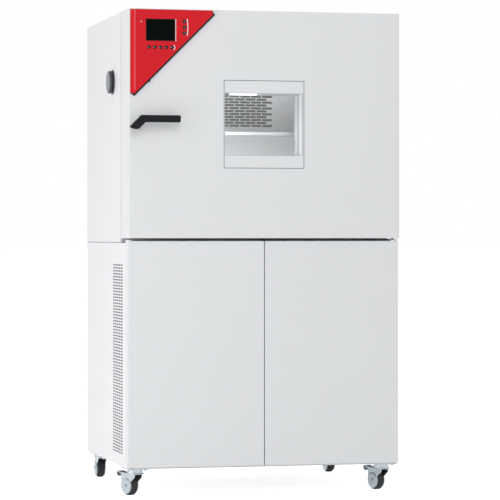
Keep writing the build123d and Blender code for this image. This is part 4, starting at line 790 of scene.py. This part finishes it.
class ChamberSlotShadeRims(bpy.types.Operator):
    """Adds dark rims round the baffle's slots, all in one piece: painted shade that makes the slots look
    wider and darker
    """
    bl_idname = "chamber.edging"
    bl_label = "Slot shade rims"

    def execute(self, context):
        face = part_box("air_baffle")[0].y
        bottom = joint("circulation_fan_spin")["pos_m"][2] - 114 * MM
        half_long, half_high, wall, thick = 20.0 * MM, 2.8 * MM, 2.0 * MM, 0.4 * MM
        column_pitch, row_pitch, rows, columns = 48 * MM, 12.5 * MM, 18, 8
        fields = []
        # Every second row is shifted by half a pitch and has one slot less
        for shifted in (0, 1):
            count = columns - shifted
            x = -(count - 1) / 2 * column_pitch
            z = bottom + shifted * row_pitch
            edging = ring((x - half_long - wall, face - thick, z - half_high - wall),
                          (x + half_long + wall, face, z + half_high + wall), wall)
            repeat(edging, count, (column_pitch, 0, 0))
            fields.append(repeat(edging, rows // 2, (0, 0, 2 * row_pitch)))
        # Painted shade round each slot: black, satin with a fine orange peel
        finish(join(fields), "slot_edging", "housing",
               moulded_plastic("black_pvc_edging", linear("#17191B"), 0.5))
        return {"FINISHED"}


class ChamberVentShade(bpy.types.Operator):
    """Adds a dark mat between the vent slots and the condenser, painted shade that keeps the slots dark"""
    bl_idname = "chamber.filter"
    bl_label = "Vent shade mat"

    def execute(self, context):
        low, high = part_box("condenser")
        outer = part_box("lower_left_panel")[0].x
        inner = outer + SHEET
        thick, rim, sunk = 6 * MM, 10 * MM, 1.5 * MM
        mat = block((inner, low.y - 8 * MM, low.z + 1 * MM),
                    (inner + thick, high.y - 10 * MM, high.z + 22 * MM))
        shape_face(mat, (1, 0, 0), (rim, -sunk))
        soften(mat, 0.8 * MM)
        # Dark bulges fill each slot, nearly flush with the sheet: painted shade in the slots
        half_long, half_high, shy = 14.8 * MM, 2.8 * MM, 0.3 * MM
        columns, column_pitch, rows, row_pitch = 5, 44.6 * MM, 64, 12 * MM
        y, z = low.y + 15 * MM, low.z - 4 * MM
        bulge = block((outer + shy, y - half_long, z - half_high), (inner, y + half_long, z + half_high))
        repeat(bulge, columns, (0, column_pitch, 0))
        repeat(bulge, rows, (0, 0, row_pitch))
        # Painted shade behind the vents: anthracite, fully matt and fibrous
        finish(join([mat, bulge]), "filter_mat", "housing",
               surface("needled_filter_fleece", linear("#1B1C1E"), rough=0.95, grain_mm=2.5, bump=0.7,
                       mottle_mm=60.0, spread=0.2, **{"Specular IOR Level": 0.15}))
        return {"FINISHED"}


class ChamberSeam(bpy.types.Operator):
    """Adds the sealing strip in the seam between the two housings"""
    bl_idname = "chamber.seam"
    bl_label = "Seam strip"

    def execute(self, context):
        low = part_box("upper_left_panel")[0]
        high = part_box("upper_right_panel")[1]
        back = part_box("lower_left_panel")[1].y
        inset, clear, width = 1.0 * MM, 0.1 * MM, 12 * MM
        strip = block((low.x + inset, low.y + inset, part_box("mid_deck")[1].z + clear),
                      (high.x - inset, back - inset, low.z - clear))
        soften(hollow(strip, (0, 0, 1), width), 0.3 * MM)
        # Closed-cell EPDM foam strip, light grey: matt with a fine cell structure
        finish(strip, "seam_strip", "housing",
               surface("epdm_foam_strip", linear("#9DA0A4"), rough=0.9, grain_mm=0.8, bump=0.3,
                       mottle_mm=30.0, spread=0.05))
        return {"FINISHED"}


class ChamberShelfLip(bpy.types.Operator):
    """Adds the folded front lip of the shelf"""
    bl_idname = "chamber.shelf_lip"
    bl_label = "Shelf lip"

    def execute(self, context):
        low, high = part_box("shelf")
        inset, drop, thick = 10 * MM, 14 * MM, 2 * MM
        lip = block((low.x + inset, low.y, low.z - drop), (high.x - inset, low.y + thick, high.z))
        soften(lip, 0.8 * MM)
        # Painted reflection: the fold's near-white colour stands for the lit test space it mirrors
        finish(lip, "shelf_lip", "shelf",
               surface("polished_stainless_lip", linear("#F4F5F6"), rough=0.35, grain_mm=0.6, bump=0.1,
                       mottle_mm=140.0, spread=0.03, metallic=0.35))
        return {"FINISHED"}


# Studio

def seen_by_eye(tree):
    """1 for rays from the camera, also after a mirror or glass, and 0 for all others."""
    path = add_node(tree, "ShaderNodeLightPath")
    seen = path.outputs["Is Camera Ray"]
    for ray in ("Is Glossy Ray", "Is Transmission Ray"):
        seen = add_node(tree, "ShaderNodeMath", {0: seen, 1: path.outputs[ray]},
                        operation="MAXIMUM").outputs[0]
    return seen


def add_floor():
    """A pale matt floor that keeps the shadow; to the eye it glows a little, up to white."""
    bpy.ops.mesh.primitive_plane_add(size=600, location=(0, 250, 0))
    floor = bpy.context.object
    floor.name = "studio_floor"
    material, tree, output, place = new_material("pale_studio_floor")
    grain = add_node(tree, "ShaderNodeTexNoise", {"Vector": place, "Scale": 3.0})
    tone = between(tree, grain.outputs["Fac"], linear("#FAFAFA"), linear("#FFFFFF"))
    matt = add_node(tree, "ShaderNodeBsdfDiffuse", {"Color": tone})
    glow = add_node(tree, "ShaderNodeEmission", {"Color": linear("#FFFFFF"), "Strength": 0.78})
    both = add_node(tree, "ShaderNodeAddShader", {0: matt.outputs[0], 1: glow.outputs[0]})
    mix = add_node(tree, "ShaderNodeMixShader",
                   {0: seen_by_eye(tree), 1: matt.outputs[0], 2: both.outputs[0]})
    tree.links.new(mix.outputs[0], output.inputs["Surface"])
    floor.data.materials.append(material)


def add_surroundings(scene):
    """White all round: full white to the eye, softer as light on the object."""
    world = bpy.data.worlds.new("white_studio")
    scene.world = world
    world.use_nodes = True
    tree = world.node_tree
    tree.nodes.clear()
    soft = add_node(tree, "ShaderNodeBackground", {"Color": linear("#FFFFFF"), "Strength": 0.62})
    white = add_node(tree, "ShaderNodeBackground", {"Color": linear("#FFFFFF"), "Strength": 1.0})
    mix = add_node(tree, "ShaderNodeMixShader",
                   {0: seen_by_eye(tree), 1: soft.outputs[0], 2: white.outputs[0]})
    add_node(tree, "ShaderNodeOutputWorld", {"Surface": mix.outputs[0]})


def add_lamps():
    """Soft lamps outside and small ones in the test space, none of them in view."""
    for name, place, aim, size, watts in LAMPS:
        bpy.ops.object.light_add(type="AREA", location=place)
        lamp = bpy.context.object
        lamp.name = name
        lamp.data.shape = "RECTANGLE"
        lamp.data.size, lamp.data.size_y = size
        lamp.data.energy = watts
        lamp.visible_camera = False
        lamp.rotation_euler = (Vector(aim) - Vector(place)).to_track_quat("-Z", "Y").to_euler()


def add_camera(scene):
    """The photograph's camera, as fitted to the object's edges."""
    bpy.ops.object.camera_add(location=CAMERA_PLACE)
    camera = bpy.context.object
    camera.name = "photo_camera"
    camera.rotation_euler = Vector(CAMERA_DIRECTION).to_track_quat("-Z", "Y").to_euler()
    camera.data.lens = CAMERA_LENS
    camera.data.sensor_width = 36.0
    camera.data.shift_y = CAMERA_SHIFT
    camera.data.clip_end = 200.0
    scene.camera = camera


class ChamberStage(bpy.types.Operator):
    """Adds the floor, the white surroundings, the soft lights and the camera"""
    bl_idname = "chamber.stage"
    bl_label = "Stage"

    def execute(self, context):
        start_piece()
        add_floor()
        add_surroundings(context.scene)
        add_lamps()
        add_camera(context.scene)
        context.scene.view_settings.view_transform = "Standard"
        return {"FINISHED"}


class ChamberPanel(bpy.types.Panel):
    """Lists the chamber's settings and its building steps"""
    bl_idname = "VIEW3D_PT_chamber"
    bl_label = "Environmental Test Chamber"
    bl_space_type = "VIEW_3D"
    bl_region_type = "UI"
    bl_category = "Chamber"

    def draw(self, context):
        for group in (context.scene.chamber_colours, context.scene.chamber_sizes):
            for name in group.__annotations__:
                self.layout.prop(group, name)
        for step in STEPS:
            self.layout.operator(step.bl_idname)


STEPS = (ChamberFinishes, ChamberWindow, ChamberPanelMarks, ChamberHandle, ChamberScrews,
         ChamberCastors, ChamberPipes, ChamberPort, ChamberSlotShadePlate, ChamberSlotShadeRims, ChamberVentShade,
         ChamberSeam, ChamberShelfLip, ChamberStage)
CLASSES = (ChamberColours, ChamberSizes, *STEPS, ChamberPanel)


def register():
    for cls in CLASSES:
        bpy.utils.register_class(cls)
    bpy.types.Scene.chamber_colours = bpy.props.PointerProperty(type=ChamberColours)
    bpy.types.Scene.chamber_sizes = bpy.props.PointerProperty(type=ChamberSizes)


def unregister():
    del bpy.types.Scene.chamber_sizes
    del bpy.types.Scene.chamber_colours
    for cls in reversed(CLASSES):
        bpy.utils.unregister_class(cls)


def main():
    register()
    for step in STEPS:
        group, name = step.bl_idname.split(".")
        if getattr(getattr(bpy.ops, group), name)() != {"FINISHED"}:
            raise RuntimeError(f"{step.bl_label} did not finish")


if __name__ == "__main__":
    main()
